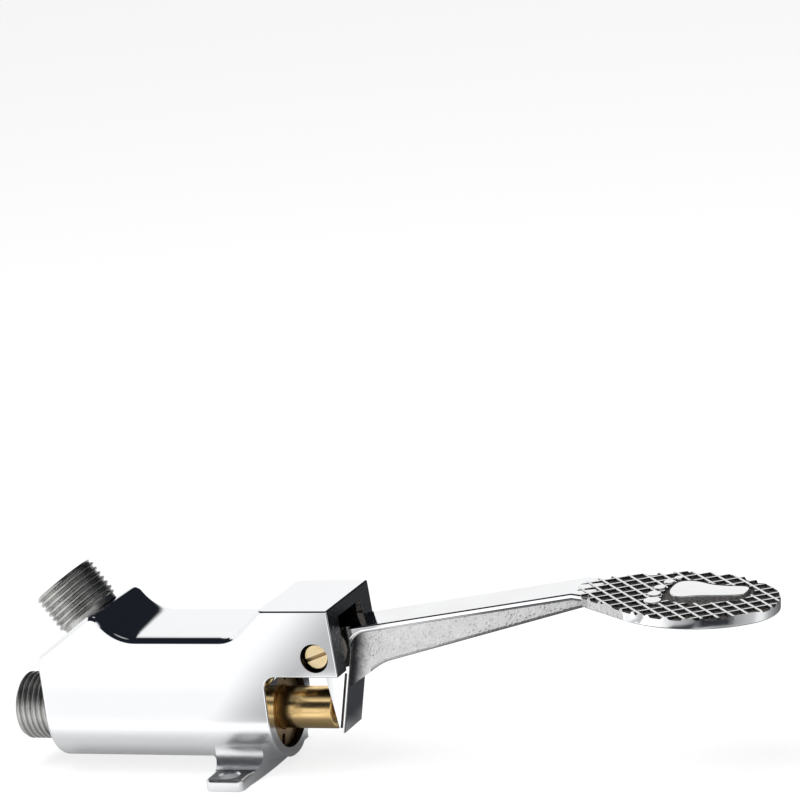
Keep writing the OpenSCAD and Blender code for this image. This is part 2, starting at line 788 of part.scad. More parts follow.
// A washer between the hub and one cheek
module hub_washer(side) {
    color(nylon) along_pivot(side * (hub_w / 2 + run_fit + hub_washer_t / 2) - hub_washer_t / 2)
        difference() {
            cylinder(h = hub_washer_t, d = hub_washer_d);
            translate([0, 0, -over]) cylinder(h = hub_washer_t + 2 * over, d = pin_d + 2 * run_fit);
        }
}

module hub_washer_front() {
    hub_washer(-1);
}

module hub_washer_rear() {
    hub_washer(1);
}

valve_body();
inlet_nipple();
inlet_gasket();
outlet_nipple();
outlet_gasket();
valve_seat();
gland_nut();
gland_washer();
gland_o_ring_outer();
gland_o_ring_inner();
seal_spacer();
plunger();
poppet_washer();
poppet_holder();
poppet_nut();
return_spring();
pedal_lever();
pivot_bush();
pivot_pin();
hub_washer_front();
hub_washer_rear();
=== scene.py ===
"""Dresses the foot pedal tap valve: rounded castings, cut threads, turned brass and a treaded pedal."""

import logging
import math
from dataclasses import dataclass
from enum import Enum
from functools import cache
from typing import Callable, Iterable, Sequence, Union

import bmesh
import bpy
from mathutils import Matrix, Vector


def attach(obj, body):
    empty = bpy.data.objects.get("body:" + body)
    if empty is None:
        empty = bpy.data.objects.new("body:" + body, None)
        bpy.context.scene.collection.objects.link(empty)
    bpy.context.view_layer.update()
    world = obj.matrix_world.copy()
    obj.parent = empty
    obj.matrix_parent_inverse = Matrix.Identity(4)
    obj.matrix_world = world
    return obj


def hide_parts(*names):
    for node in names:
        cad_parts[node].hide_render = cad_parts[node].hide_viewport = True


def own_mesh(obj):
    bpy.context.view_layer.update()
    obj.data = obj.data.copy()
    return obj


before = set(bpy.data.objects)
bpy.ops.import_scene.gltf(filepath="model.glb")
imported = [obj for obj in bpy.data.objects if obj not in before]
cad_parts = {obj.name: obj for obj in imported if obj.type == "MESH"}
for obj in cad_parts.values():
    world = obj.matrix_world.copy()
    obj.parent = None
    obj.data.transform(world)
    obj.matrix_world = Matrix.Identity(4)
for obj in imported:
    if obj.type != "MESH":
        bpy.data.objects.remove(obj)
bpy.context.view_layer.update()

LOG = logging.getLogger("foot_valve")
MM = 0.001
MERGE = 1e-4
QUARTER = math.pi / 2
X, Y = 0, 1
Point = tuple[float, float]
Triple = tuple[float, float, float]
Edge = bmesh.types.BMEdge
Face = bmesh.types.BMFace
Vert = bmesh.types.BMVert


class Body(Enum):
    """The moving groups of the valve."""

    FIXED = "body"
    PEDAL = "pedal"
    PLUNGER = "plunger_set"


class Slot(Enum):
    """The record's finishes, passed with each new piece."""

    CASTING = "plated_casting"
    LEVER = "plated_lever"
    NICKEL = "nickel"
    BRASS = "brass"
    SPRING = "spring_steel"


class Cut(Enum):
    """How a tool form works on a blank."""

    AWAY = "DIFFERENCE"
    ON = "UNION"
    WITHIN = "INTERSECT"


def arc(centre: Point, radius: float, start: float, end: float, steps: int) -> list[Point]:
    """Points along an arc.

    Args:
        centre: Middle of the arc.
        radius: Its radius.
        start: First angle in degrees.
        end: Last angle in degrees.
        steps: Number of straight steps.

    Returns:
        The points from start to end, both included.
    """
    turns = (math.radians(start + (end - start) * i / steps) for i in range(steps + 1))
    return [(centre[0] + radius * math.cos(a), centre[1] + radius * math.sin(a)) for a in turns]


def fillet(corner: Point, before: Point, after: Point, radius: float, steps: int) -> list[Point]:
    """Points that round a corner of an outline.

    Args:
        corner: The sharp corner.
        before: A point on the edge that leads to it.
        after: A point on the edge that leaves it.
        radius: Radius of the rounding.
        steps: Number of straight steps.

    Returns:
        The points from the first touching point to the second.
    """
    c = Vector(corner)
    a = (Vector(before) - c).normalized()
    b = (Vector(after) - c).normalized()
    half = math.acos(max(-1.0, min(1.0, a.dot(b)))) / 2
    middle = c + (a + b).normalized() * radius / math.sin(half)
    first = c + a * radius / math.tan(half) - middle
    last = c + b * radius / math.tan(half) - middle
    from_angle = math.degrees(math.atan2(first.y, first.x))
    swing = math.degrees(math.atan2(first.cross(last), first.dot(last)))
    return arc((middle.x, middle.y), radius, from_angle, from_angle + swing, steps)


def place_at(x: float, z: float, angle: float, axis: str = "Y") -> Matrix:
    """A place in the middle plane, turned about one axis."""
    return Matrix.Translation((x, 0, z)) @ Matrix.Rotation(angle, 4, axis)


def near(value: float, wanted: float, within: float = 0.01) -> bool:
    """True where two lengths agree."""
    return abs(value - wanted) < within


def level(edge: Edge, way: int) -> bool:
    """True where both ends of an edge have the same X or the same Y."""
    return near(edge.verts[0].co[way], edge.verts[1].co[way])


def bent(edge: Edge, degrees: float) -> bool:
    """True where the faces at an edge turn by more than an angle."""
    return edge.calc_face_angle(0.0) > math.radians(degrees)


@dataclass(frozen=True)
class Datum:
    """Places that the sub-assemblies share, in millimetres."""

    axis: float = 18.4
    inlet: float = -63.0
    pivot: Point = (30.9, 39.1)
    pad: Triple = (145.5, 0.0, 53.8)
    pad_tilt: float = math.radians(5)

    def barrel(self) -> Matrix:
        """The barrel's axis, with +Z along +X."""
        return place_at(0, self.axis, QUARTER)

    def pin(self) -> Matrix:
        """The pivot pin's axis, with +Z along +Y."""
        return place_at(*self.pivot, -QUARTER, "X")


DATUM = Datum()


class Form:
    """A mesh in the making, in millimetres."""

    def __init__(self) -> None:
        """Starts with an empty mesh."""
        self.bm = bmesh.new()

    @classmethod
    def slab(cls, outline: Iterable[Vector], push: Vector) -> "Form":
        """Extrudes a closed outline.

        Args:
            outline: Corners in order, all in one plane.
            push: Direction and length of the extrusion.

        Returns:
            The closed slab.
        """
        form = cls()
        face = form.bm.faces.new([form.bm.verts.new(p) for p in outline])
        grown = bmesh.ops.extrude_face_region(form.bm, geom=[face])["geom"]
        bmesh.ops.translate(form.bm, verts=[g for g in grown if isinstance(g, Vert)], vec=push)
        return form.settle()

    @classmethod
    def across(cls, outline: Sequence[Point], width: float) -> "Form":
        """Extrudes an outline drawn in X and Z to a width across Y, about the middle plane."""
        return cls.slab([Vector((x, -width / 2, z)) for x, z in outline], Vector((0, width, 0)))

    @classmethod
    def upright(cls, outline: Sequence[Point], low: float, high: float) -> "Form":
        """Extrudes an outline drawn in X and Y from one height to another."""
        return cls.slab([Vector((x, y, low)) for x, y in outline], Vector((0, 0, high - low)))

    @classmethod
    def lathe(cls, profile: Sequence[Point], place: Matrix, steps: int = 96, ring: bool = False) -> "Form":
        """Spins a profile about an axis.

        Args:
            profile: Pairs of radius and height along the axis.
            place: Where the axis stands, with its +Z along the height.
            steps: Number of steps round.
            ring: True where the profile closes on itself away from the axis.

        Returns:
            The closed turned form.
        """
        form = cls()
        verts = [form.bm.verts.new((r, 0, h)) for r, h in profile]
        ends = verts[1:] + verts[:1] if ring else verts[1:]
        edges = [form.bm.edges.new(pair) for pair in zip(verts, ends)]
        bmesh.ops.spin(
            form.bm, geom=verts + edges, cent=(0, 0, 0), axis=(0, 0, 1), angle=2 * math.pi, steps=steps, use_merge=True
        )
        return form.settle().place(place)

    def settle(self, gap: float = MERGE) -> "Form":
        """Merges points nearer than a gap and turns all faces outwards."""
        bmesh.ops.remove_doubles(self.bm, verts=self.bm.verts, dist=gap)
        bmesh.ops.recalc_face_normals(self.bm, faces=self.bm.faces)
        return self

    def place(self, where: Matrix) -> "Form":
        """Moves the whole form."""
        bmesh.ops.transform(self.bm, matrix=where, verts=self.bm.verts)
        return self

    def slice(self, at: Triple, way: Triple, clear: bool = False) -> None:
        """Divides the faces along a plane, and drops what lies beyond it where that is asked."""
        everything = self.bm.verts[:] + self.bm.edges[:] + self.bm.faces[:]
        bmesh.ops.bisect_plane(self.bm, geom=everything, plane_co=at, plane_no=way, clear_outer=clear, dist=1e-5)

    def close_rims(self) -> "Form":
        """Fills the open rims and settles the form."""
        bmesh.ops.holes_fill(self.bm, edges=[e for e in self.bm.edges if e.is_boundary], sides=0)
        return self.settle()

    def round_edges(self, pick: Callable[[Edge], bool], radius: float, segments: int = 4) -> "Form":
        """Rounds chosen edges.

        Args:
            pick: Says whether an edge is to be rounded.
            radius: Width of the rounding.
            segments: Steps across it.

        Returns:
            This form.
        """
        edges = [e for e in self.bm.edges if pick(e)]
        bmesh.ops.bevel(
            self.bm, geom=edges, offset=radius, offset_type="OFFSET", affect="EDGES", segments=segments,
            profile=0.5, material=-1, clamp_overlap=False,
        )
        return self

    def _stand_in(self, name: str) -> bpy.types.Object:
        """Makes a short-lived object that holds this mesh.

        Args:
            name: Its name.

        Returns:
            The object.
        """
        mesh = bpy.data.meshes.new(name)
        self.bm.to_mesh(mesh)
        holder = bpy.data.objects.new(name, mesh)
        bpy.context.scene.collection.objects.link(holder)
        return holder

    def work(self, tool: "Form", how: Cut) -> "Form":
        """Cuts this form with a tool form, or joins the tool to it.

        Args:
            tool: The other closed form, which is used up.
            how: What the tool does.

        Returns:
            This form.
        """
        blank, cutter = self._stand_in("blank"), tool._stand_in("cutter")
        step = blank.modifiers.new("work", "BOOLEAN")
        step.object, step.operation, step.solver = cutter, how.value, "EXACT"
        step.use_self = step.use_hole_tolerant = True
        ready = blank.evaluated_get(bpy.context.evaluated_depsgraph_get())
        worked = bpy.data.meshes.new_from_object(ready)
        self.bm.clear()
        self.bm.from_mesh(worked)
        tool.bm.free()
        for holder in (blank, cutter):
            mesh = holder.data
            bpy.data.objects.remove(holder)
            bpy.data.meshes.remove(mesh)
        bpy.data.meshes.remove(worked)
        bmesh.ops.remove_doubles(self.bm, verts=self.bm.verts, dist=MERGE)
        return self

    def take_in(self, other: "Form") -> None:
        """Adds another form's mesh as a separate solid of the same piece.

        Args:
            other: The other form, which is used up.
        """
        spare = bpy.data.meshes.new("spare")
        other.bm.to_mesh(spare)
        other.bm.free()
        self.bm.from_mesh(spare)
        bpy.data.meshes.remove(spare)

    def piece(self, name: str, finishes: Sequence["Finish"], body: Body, slot: Slot, *nodes: str,
              crease: float = 33.0) -> bpy.types.Object:
        """Makes the finished piece in metres.

        Args:
            name: Name of the piece.
            finishes: Its finishes, by the faces' material index.
            body: The moving group that carries it.
            slot: The record's finish; not used.
            nodes: The plain nodes that it stands for.
            crease: Angle in degrees above which an edge stays sharp.

        Returns:
            The new object.
        """
        bmesh.ops.scale(self.bm, vec=(MM, MM, MM), verts=self.bm.verts)
        limit = math.radians(crease)
        for face in self.bm.faces:
            face.smooth = True
        for edge in self.bm.edges:
            edge.smooth = edge.is_manifold and edge.calc_face_angle(0.0) < limit
        mesh = bpy.data.meshes.new(name)
        self.bm.to_mesh(mesh)
        self.bm.free()
        for finish in finishes:
            mesh.materials.append(finish.material())
        made = bpy.data.objects.new(name, mesh)
        bpy.context.scene.collection.objects.link(made)
        shading = made.modifiers.new("even shading", "WEIGHTED_NORMAL")
        shading.keep_sharp = True
        shading.weight = 60
        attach(made, body.value)
        if nodes:
            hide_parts(*nodes)
        LOG.info("piece %s: %d faces, on %s", name, len(mesh.polygons), body.value)
        return made


class Sock:
    """A shader socket that takes part in sums."""

    def __init__(self, kit: "Shader", socket: bpy.types.NodeSocket) -> None:
        """Keeps the socket and the shader it belongs to."""
        self.kit = kit
        self.socket = socket

    def _math(self, operation: str, *values: Union["Sock", float]) -> "Sock":
        """Adds one Math node on the given values."""
        return self.kit.add("ShaderNodeMath", {"operation": operation}, dict(enumerate(values)))

    def __add__(self, other: Union["Sock", float]) -> "Sock":
        """Sum."""
        return self._math("ADD", self, other)

    __radd__ = __add__

    def __sub__(self, other: Union["Sock", float]) -> "Sock":
        """Difference."""
        return self._math("SUBTRACT", self, other)

    def __rsub__(self, other: float) -> "Sock":
        """Difference from a number."""
        return self._math("SUBTRACT", other, self)

    def __mul__(self, other: Union["Sock", float]) -> "Sock":
        """Product."""
        return self._math("MULTIPLY", self, other)

    __rmul__ = __mul__

    def __truediv__(self, other: Union["Sock", float]) -> "Sock":
        """Quotient."""
        return self._math("DIVIDE", self, other)

    def top(self, other: Union["Sock", float]) -> "Sock":
        """The larger of two values."""
        return self._math("MAXIMUM", self, other)

    def size(self) -> "Sock":
        """The value without its sign."""
        return self._math("ABSOLUTE", self)

    def turn(self, other: "Sock") -> "Sock":
        """The angle of the point (other, self), from 0 to 1 for -180 to 180 degrees."""
        return self._math("ARCTAN2", self, other) / (2 * math.pi) + 0.5

    def step(self, low: float, high: float) -> "Sock":
        """A smooth step from 0 at low to 1 at high."""
        ends = {"From Min": low, "From Max": high, "To Min": 0.0, "To Max": 1.0}
        return self.kit.add("ShaderNodeMapRange", {"interpolation_type": "SMOOTHSTEP"}, {"Value": self, **ends})

    def until(self, low: float, high: float) -> "Sock":
        """A smooth step from 1 at low to 0 at high."""
        return 1 - self.step(low, high)


class Shader:
    """A node tree under construction."""

    def __init__(self, tree: bpy.types.NodeTree) -> None:
        """Starts from an empty tree."""
        self.tree = tree
        tree.nodes.clear()

    def node(self, kind: str, settings: dict, values: dict) -> bpy.types.Node:
        """Adds a node.

        Args:
            kind: The node's type.
            settings: Its properties, set first. A ramp's stops go under "stops".
            values: Numbers, colours or sockets for its inputs, by name or index.

        Returns:
            The node.
        """
        made = self.tree.nodes.new(kind)
        for name, value in settings.items():
            if name == "stops":
                for spare in list(made.color_ramp.elements)[1:]:
                    made.color_ramp.elements.remove(spare)
                for i, (at, colour) in enumerate(value):
                    stop = made.color_ramp.elements[0] if i == 0 else made.color_ramp.elements.new(at)
                    stop.position, stop.color = at, (*colour, 1.0)
            else:
                setattr(made, name, value)
        for name, value in values.items():
            if isinstance(value, Sock):
                self.tree.links.new(value.socket, made.inputs[name])
            else:
                made.inputs[name].default_value = value
        return made

    def add(self, kind: str, settings: dict, values: dict, output: Union[int, str] = 0) -> Sock:
        """Adds a node and gives one of its outputs."""
        return Sock(self, self.node(kind, settings, values).outputs[output])

    def place(self, scale: Triple = (1, 1, 1)) -> Sock:
        """Object coordinates, stretched."""
        where = self.add("ShaderNodeTexCoord", {}, {}, "Object")
        return self.add("ShaderNodeMapping", {}, {"Vector": where, "Scale": scale})

    def noise(self, where: Sock, scale: float, detail: float = 3.0, rough: float = 0.55) -> Sock:
        """Soft noise from 0 to 1."""
        values = {"Vector": where, "Scale": scale, "Detail": detail, "Roughness": rough}
        return self.add("ShaderNodeTexNoise", {}, values, "Fac")

    def blend(self, share: Sock, first: Union[Sock, Triple], second: Union[Sock, Triple]) -> Sock:
        """Mixes two colours."""
        pair = (c if isinstance(c, Sock) else (*c, 1.0) for c in (first, second))
        return self.add("ShaderNodeMix", {"data_type": "RGBA"}, {0: share, **dict(zip((6, 7), pair))}, 2)

    def bump(self, height: Sock, strength: float, depth: float) -> Sock:
        """A bumped normal."""
        return self.add("ShaderNodeBump", {}, {"Height": height, "Strength": strength, "Distance": depth}, "Normal")

    def parts(self, vector: Sock) -> list[Sock]:
        """The three numbers of a vector."""
        return [Sock(self, out) for out in self.node("ShaderNodeSeparateXYZ", {}, {0: vector}).outputs]

    def rays(self) -> list[Sock]:
        """Whether a ray comes from the camera, from gloss or through something clear."""
        path = self.node("ShaderNodeLightPath", {}, {})
        return [Sock(self, path.outputs[f"Is {kind} Ray"]) for kind in ("Camera", "Glossy", "Transmission")]


@dataclass(frozen=True)
class Finish:
    """A surface finish: its name and how metallic it is."""

    name: str
    metallic: float = 1.0

    def skin(self, kit: Shader) -> dict[str, Sock]:
        """The surface shader's inputs that change over the surface."""
        raise NotImplementedError

    @cache
    def material(self) -> bpy.types.Material:
        """Makes the material at its first use.

        Returns:
            The one material of this finish.
        """
        made = bpy.data.materials.new(self.name)
        made.use_nodes = True
        kit = Shader(made.node_tree)
        surface = kit.add("ShaderNodeBsdfPrincipled", {}, {"Metallic": self.metallic, **self.skin(kit)})
        kit.node("ShaderNodeOutputMaterial", {}, {"Surface": surface})
        return made


@dataclass(frozen=True)
class Chrome(Finish):
    """Bright plating over a polished casting, with faint polishing lines."""

    colour: Triple = (0.90, 0.91, 0.92)
    dull: Triple = (0.885, 0.895, 0.91)
    gloss: float = 0.03
    wave: float = 0.02
    foot: float = 0.32
    cloud: float = 60.0
    lines: Triple = (40, 900, 900)

    def skin(self, kit: Shader) -> dict[str, Sock]:
        """Clouded plating. The foot under the barrel is polished less than the rest.

        Args:
            kit: The shader to add to.

        Returns:
            Colour, roughness and normal.
        """
        x, _, z = kit.parts(kit.place())
        cloud = kit.noise(kit.place(), self.cloud, 2.0)
        lines = kit.noise(kit.place(self.lines), 1.0, 2.0)
        low = x.size().until(0.008, 0.020) * z.until(0.010, 0.026) * self.foot
        return {
            "Base Color": kit.blend(cloud.step(0.35, 0.75), self.colour, self.dull),
            "Roughness": self.gloss + lines.step(0.45, 0.8) * 0.025 + cloud.step(0.4, 0.8) * 0.02 + low,
            "Normal": kit.bump(cloud, self.wave, 0.0004),
        }


@dataclass(frozen=True)
class RoughCast(Finish):
    """Plating over a skin left as cast: small pits and grains, and painted shade in the corner at the lever's tail."""

    colour: Triple = (0.86, 0.86, 0.85)
    shade: Triple = (0.56, 0.56, 0.56)
    # Colour of the painted shade in the corner at the lever's tail.
    dirt_and_painted_shade: Triple = (0.03, 0.03, 0.035)
    # Strength of that painted corner shade; 0 leaves it out.
    corner: float = 0.0
    grain: float = 1500.0
    cloud: float = 220.0
    pits: float = 900.0
    tail_at: Point = (0.0335, 0.0124)
    tail_lean: float = 0.2162

    def skin(self, kit: Shader) -> dict[str, Sock]:
        """Grained plating, darkened by painted shade towards the lever's tail.

        Args:
            kit: The shader to add to.

        Returns:
            Colour, roughness and normal.
        """
        grain = kit.noise(kit.place(), self.grain, 3.0, 0.6)
        cloud = kit.noise(kit.place(), self.cloud, 2.0)
        pits = kit.add("ShaderNodeTexVoronoi", {}, {"Vector": kit.place(), "Scale": self.pits}, "Distance")
        colour = kit.blend((0.82 - grain * 0.5 - cloud * 0.3).step(0.1, 0.65), self.colour, self.shade)
        x, _, z = kit.parts(kit.place())
        # Distance from the tail's outer face, which drives the painted corner shade.
        from_tail = x - self.tail_at[0] - (z - self.tail_at[1]) * self.tail_lean + (cloud - 0.5) * 0.002
        return {
            # Painted shade: the colour darkens towards the tail's outer face.
            "Base Color": kit.blend(from_tail.until(0.0002, 0.0062) * self.corner, colour, self.dirt_and_painted_shade),
            "Roughness": 0.24 + grain * 0.16,
            "Normal": kit.bump(grain * 0.6 + pits.step(0.0, 0.5) * 0.5 + cloud, 0.45, 0.0003),
        }


@dataclass(frozen=True)
class Tread(Finish):
    """Plated tread: bright worn crests over a darker pitted floor."""

    bright: Triple = (0.90, 0.90, 0.90)
    floor: Triple = (0.16, 0.152, 0.142)
    pits: Triple = (0.03, 0.03, 0.03)
    grain: float = 1400.0

    def skin(self, kit: Shader) -> dict[str, Sock]:
        """Finish by the height above the tread's floor, in the pad's own frame.

        Args:
            kit: The shader to add to.

        Returns:
            Colour, roughness, normal and metal.
        """
        pad = Vector(DATUM.pad) * MM
        where = kit.add("ShaderNodeTexCoord", {}, {}, "Object")
        local = kit.add(
            "ShaderNodeVectorRotate", {"rotation_type": "Y_AXIS", "invert": True},
            {"Vector": where, "Center": pad, "Angle": DATUM.pad_tilt},
        )
        height = kit.parts(local)[2] - pad.z
        grain = kit.noise(kit.place(), self.grain, 3.0, 0.6)
        worn = (height + grain * 0.0002).step(-0.00015, 0.00005)
        keep = worn.top(height.until(-0.0012, -0.0008))
        # The tread floor's own darker tone with its pits.
        dirt_and_painted_shade = kit.blend(grain.step(0.35, 0.65), self.pits, self.floor)
        flat = (height + grain * 0.0001).until(-0.00076, -0.0006)
        return {
            "Base Color": kit.blend(keep, dirt_and_painted_shade, self.bright),
            "Roughness": 0.3 + flat * 0.35 - keep * 0.2 + grain * 0.06,
            "Normal": kit.bump(grain * (1 - keep), 0.6, 0.0004),
            "Metallic": 1 - flat * 0.6,
        }


@dataclass(frozen=True)
class TurnedBrass(Finish):
    """Brass off the lathe, with fine tool rings along an axis."""

    colour: Triple = (0.80, 0.58, 0.28)
    stain: Triple = (0.56, 0.36, 0.15)
    rings: Triple = (3000, 60, 60)
    cloud: float = 180.0
    gloss: float = 0.2
    marks: float = 0.12

    def skin(self, kit: Shader) -> dict[str, Sock]:
        """Ringed and stained brass.

        Args:
            kit: The shader to add to.

        Returns:
            Colour, roughness and normal.
        """
        rings = kit.noise(kit.place(self.rings), 1.0, 2.0)
        cloud = kit.noise(kit.place(), self.cloud, 4.0, 0.6)
        stain = cloud.step(0.45, 0.8) * 0.7 + rings.step(0.5, 0.8) * 0.15
        return {
            "Base Color": kit.blend(stain, self.colour, self.stain),
            "Roughness": self.gloss + rings * self.marks + cloud.step(0.5, 0.8) * 0.1,
            "Normal": kit.bump(rings, self.marks, 0.0002),
        }


@dataclass(frozen=True)
class CutThread(Finish):
    """Nickel over a cut thread: bright flanks with darker marks of the die."""

    colour: Triple = (0.54, 0.54, 0.525)
    dark: Triple = (0.20, 0.20, 0.19)
    tears: float = 420.0
    cloud: float = 140.0

    def skin(self, kit: Shader) -> dict[str, Sock]:
        """Torn and clouded nickel.

        Args:
            kit: The shader to add to.

        Returns:
            Colour, roughness and normal.
        """
        tears = kit.noise(kit.place(), self.tears, 2.0, 0.5)
        cloud = kit.noise(kit.place(), self.cloud, 2.0)
        marks = tears.step(0.5, 0.75) * 0.3 + cloud.step(0.45, 0.75) * 0.4
        return {
            "Base Color": kit.blend(marks, self.colour, self.dark),
            "Roughness": 0.31 + tears * 0.06,
            "Normal": kit.bump(tears, 0.02, 0.0002),
        }


@dataclass(frozen=True)
class Moulded(Finish):
    """Rubber, nylon or pressed fibre: a dull skin with fine grain."""

    metallic: float = 0.0
    colour: Triple = (0.1, 0.1, 0.1)
    second: Triple = (0.05, 0.05, 0.05)
    rough: float = 0.6
    grain: float = 700.0
    cloud: float = 90.0

    def skin(self, kit: Shader) -> dict[str, Sock]:
        """Grained skin of two colours.

        Args:
            kit: The shader to add to.

        Returns:
            Colour, roughness and normal.
        """
        grain = kit.noise(kit.place(), self.grain, 3.0)
        cloud = kit.noise(kit.place(), self.cloud, 2.0)
        return {
            "Base Color": kit.blend(cloud.step(0.3, 0.75) * 0.6 + grain * 0.4, self.colour, self.second),
            "Roughness": self.rough + grain * 0.15,
            "Normal": kit.bump(grain, 0.15, 0.0002),
        }


@dataclass(frozen=True)
class Finishes:
    """All finishes of the valve."""

    chrome: Finish = Chrome("bright_chrome")
    arm_chrome: Finish = Chrome("arm_chrome", colour=(0.85, 0.85, 0.85), gloss=0.06, wave=0.08)
    sign: Finish = Chrome("sign_chrome", colour=(0.97, 0.97, 0.97), dull=(0.95, 0.95, 0.95), gloss=0.1)
    rim: Finish = Chrome("rim_chrome", colour=(0.87, 0.88, 0.88), gloss=0.05, wave=0.005)
    # Cast faces of the lever, with painted shade in the corner at the tail.
    cast: Finish = RoughCast("rough_cast", corner=0.92)
    # Duller ground end faces and lug tops; their dark grey tone is painted shade.
    ground_and_painted_shade: Finish = RoughCast("ground_end_painted_shade", colour=(0.24, 0.245, 0.25), shade=(0.16, 0.165, 0.17))
    side: Finish = RoughCast("edge_cast", colour=(0.52, 0.52, 0.52), shade=(0.22, 0.22, 0.22))
    # Dark unplated inside of the holes and the slot; on the lever it is also painted shade in the side grooves.
    inside: Finish = RoughCast("raw_inside_and_groove_shade", colour=(0.15, 0.14, 0.13), shade=(0.06, 0.055, 0.05))
    tread: Finish = Tread("tread_plate")
    brass: Finish = TurnedBrass("turned_brass")
    rod: Finish = TurnedBrass(
        "rod_brass", colour=(0.92, 0.66, 0.31), stain=(0.78, 0.50, 0.20), rings=(1800, 40, 40), gloss=0.22, marks=0.004
    )
    bronze: Finish = TurnedBrass("dull_brass", colour=(0.38, 0.26, 0.13), stain=(0.20, 0.13, 0.07), gloss=0.28)
    pin: Finish = TurnedBrass(
        "pin_brass", colour=(0.86, 0.70, 0.42), stain=(0.70, 0.50, 0.24), rings=(900, 60, 900), gloss=0.24
    )
    thread: Finish = CutThread("cut_thread")
    steel: Finish = CutThread("drawn_steel", colour=(0.62, 0.63, 0.65), dark=(0.42, 0.43, 0.45))
    rubber: Finish = Moulded("black_rubber")
    nylon: Finish = Moulded("white_nylon", colour=(0.90, 0.88, 0.82), second=(0.80, 0.77, 0.68), rough=0.4)
    # Nylon darkened as painted shade for the hub washers inside the slot.
    shade_darkened_nylon: Finish = Moulded("nylon_with_painted_shade", colour=(0.24, 0.22, 0.19), second=(0.10, 0.09, 0.08), rough=0.35)
    fibre: Finish = Moulded(
        "red_fibre", colour=(0.45, 0.20, 0.14), second=(0.30, 0.11, 0.07), rough=0.65, grain=1500.0
    )


SKIN = Finishes()


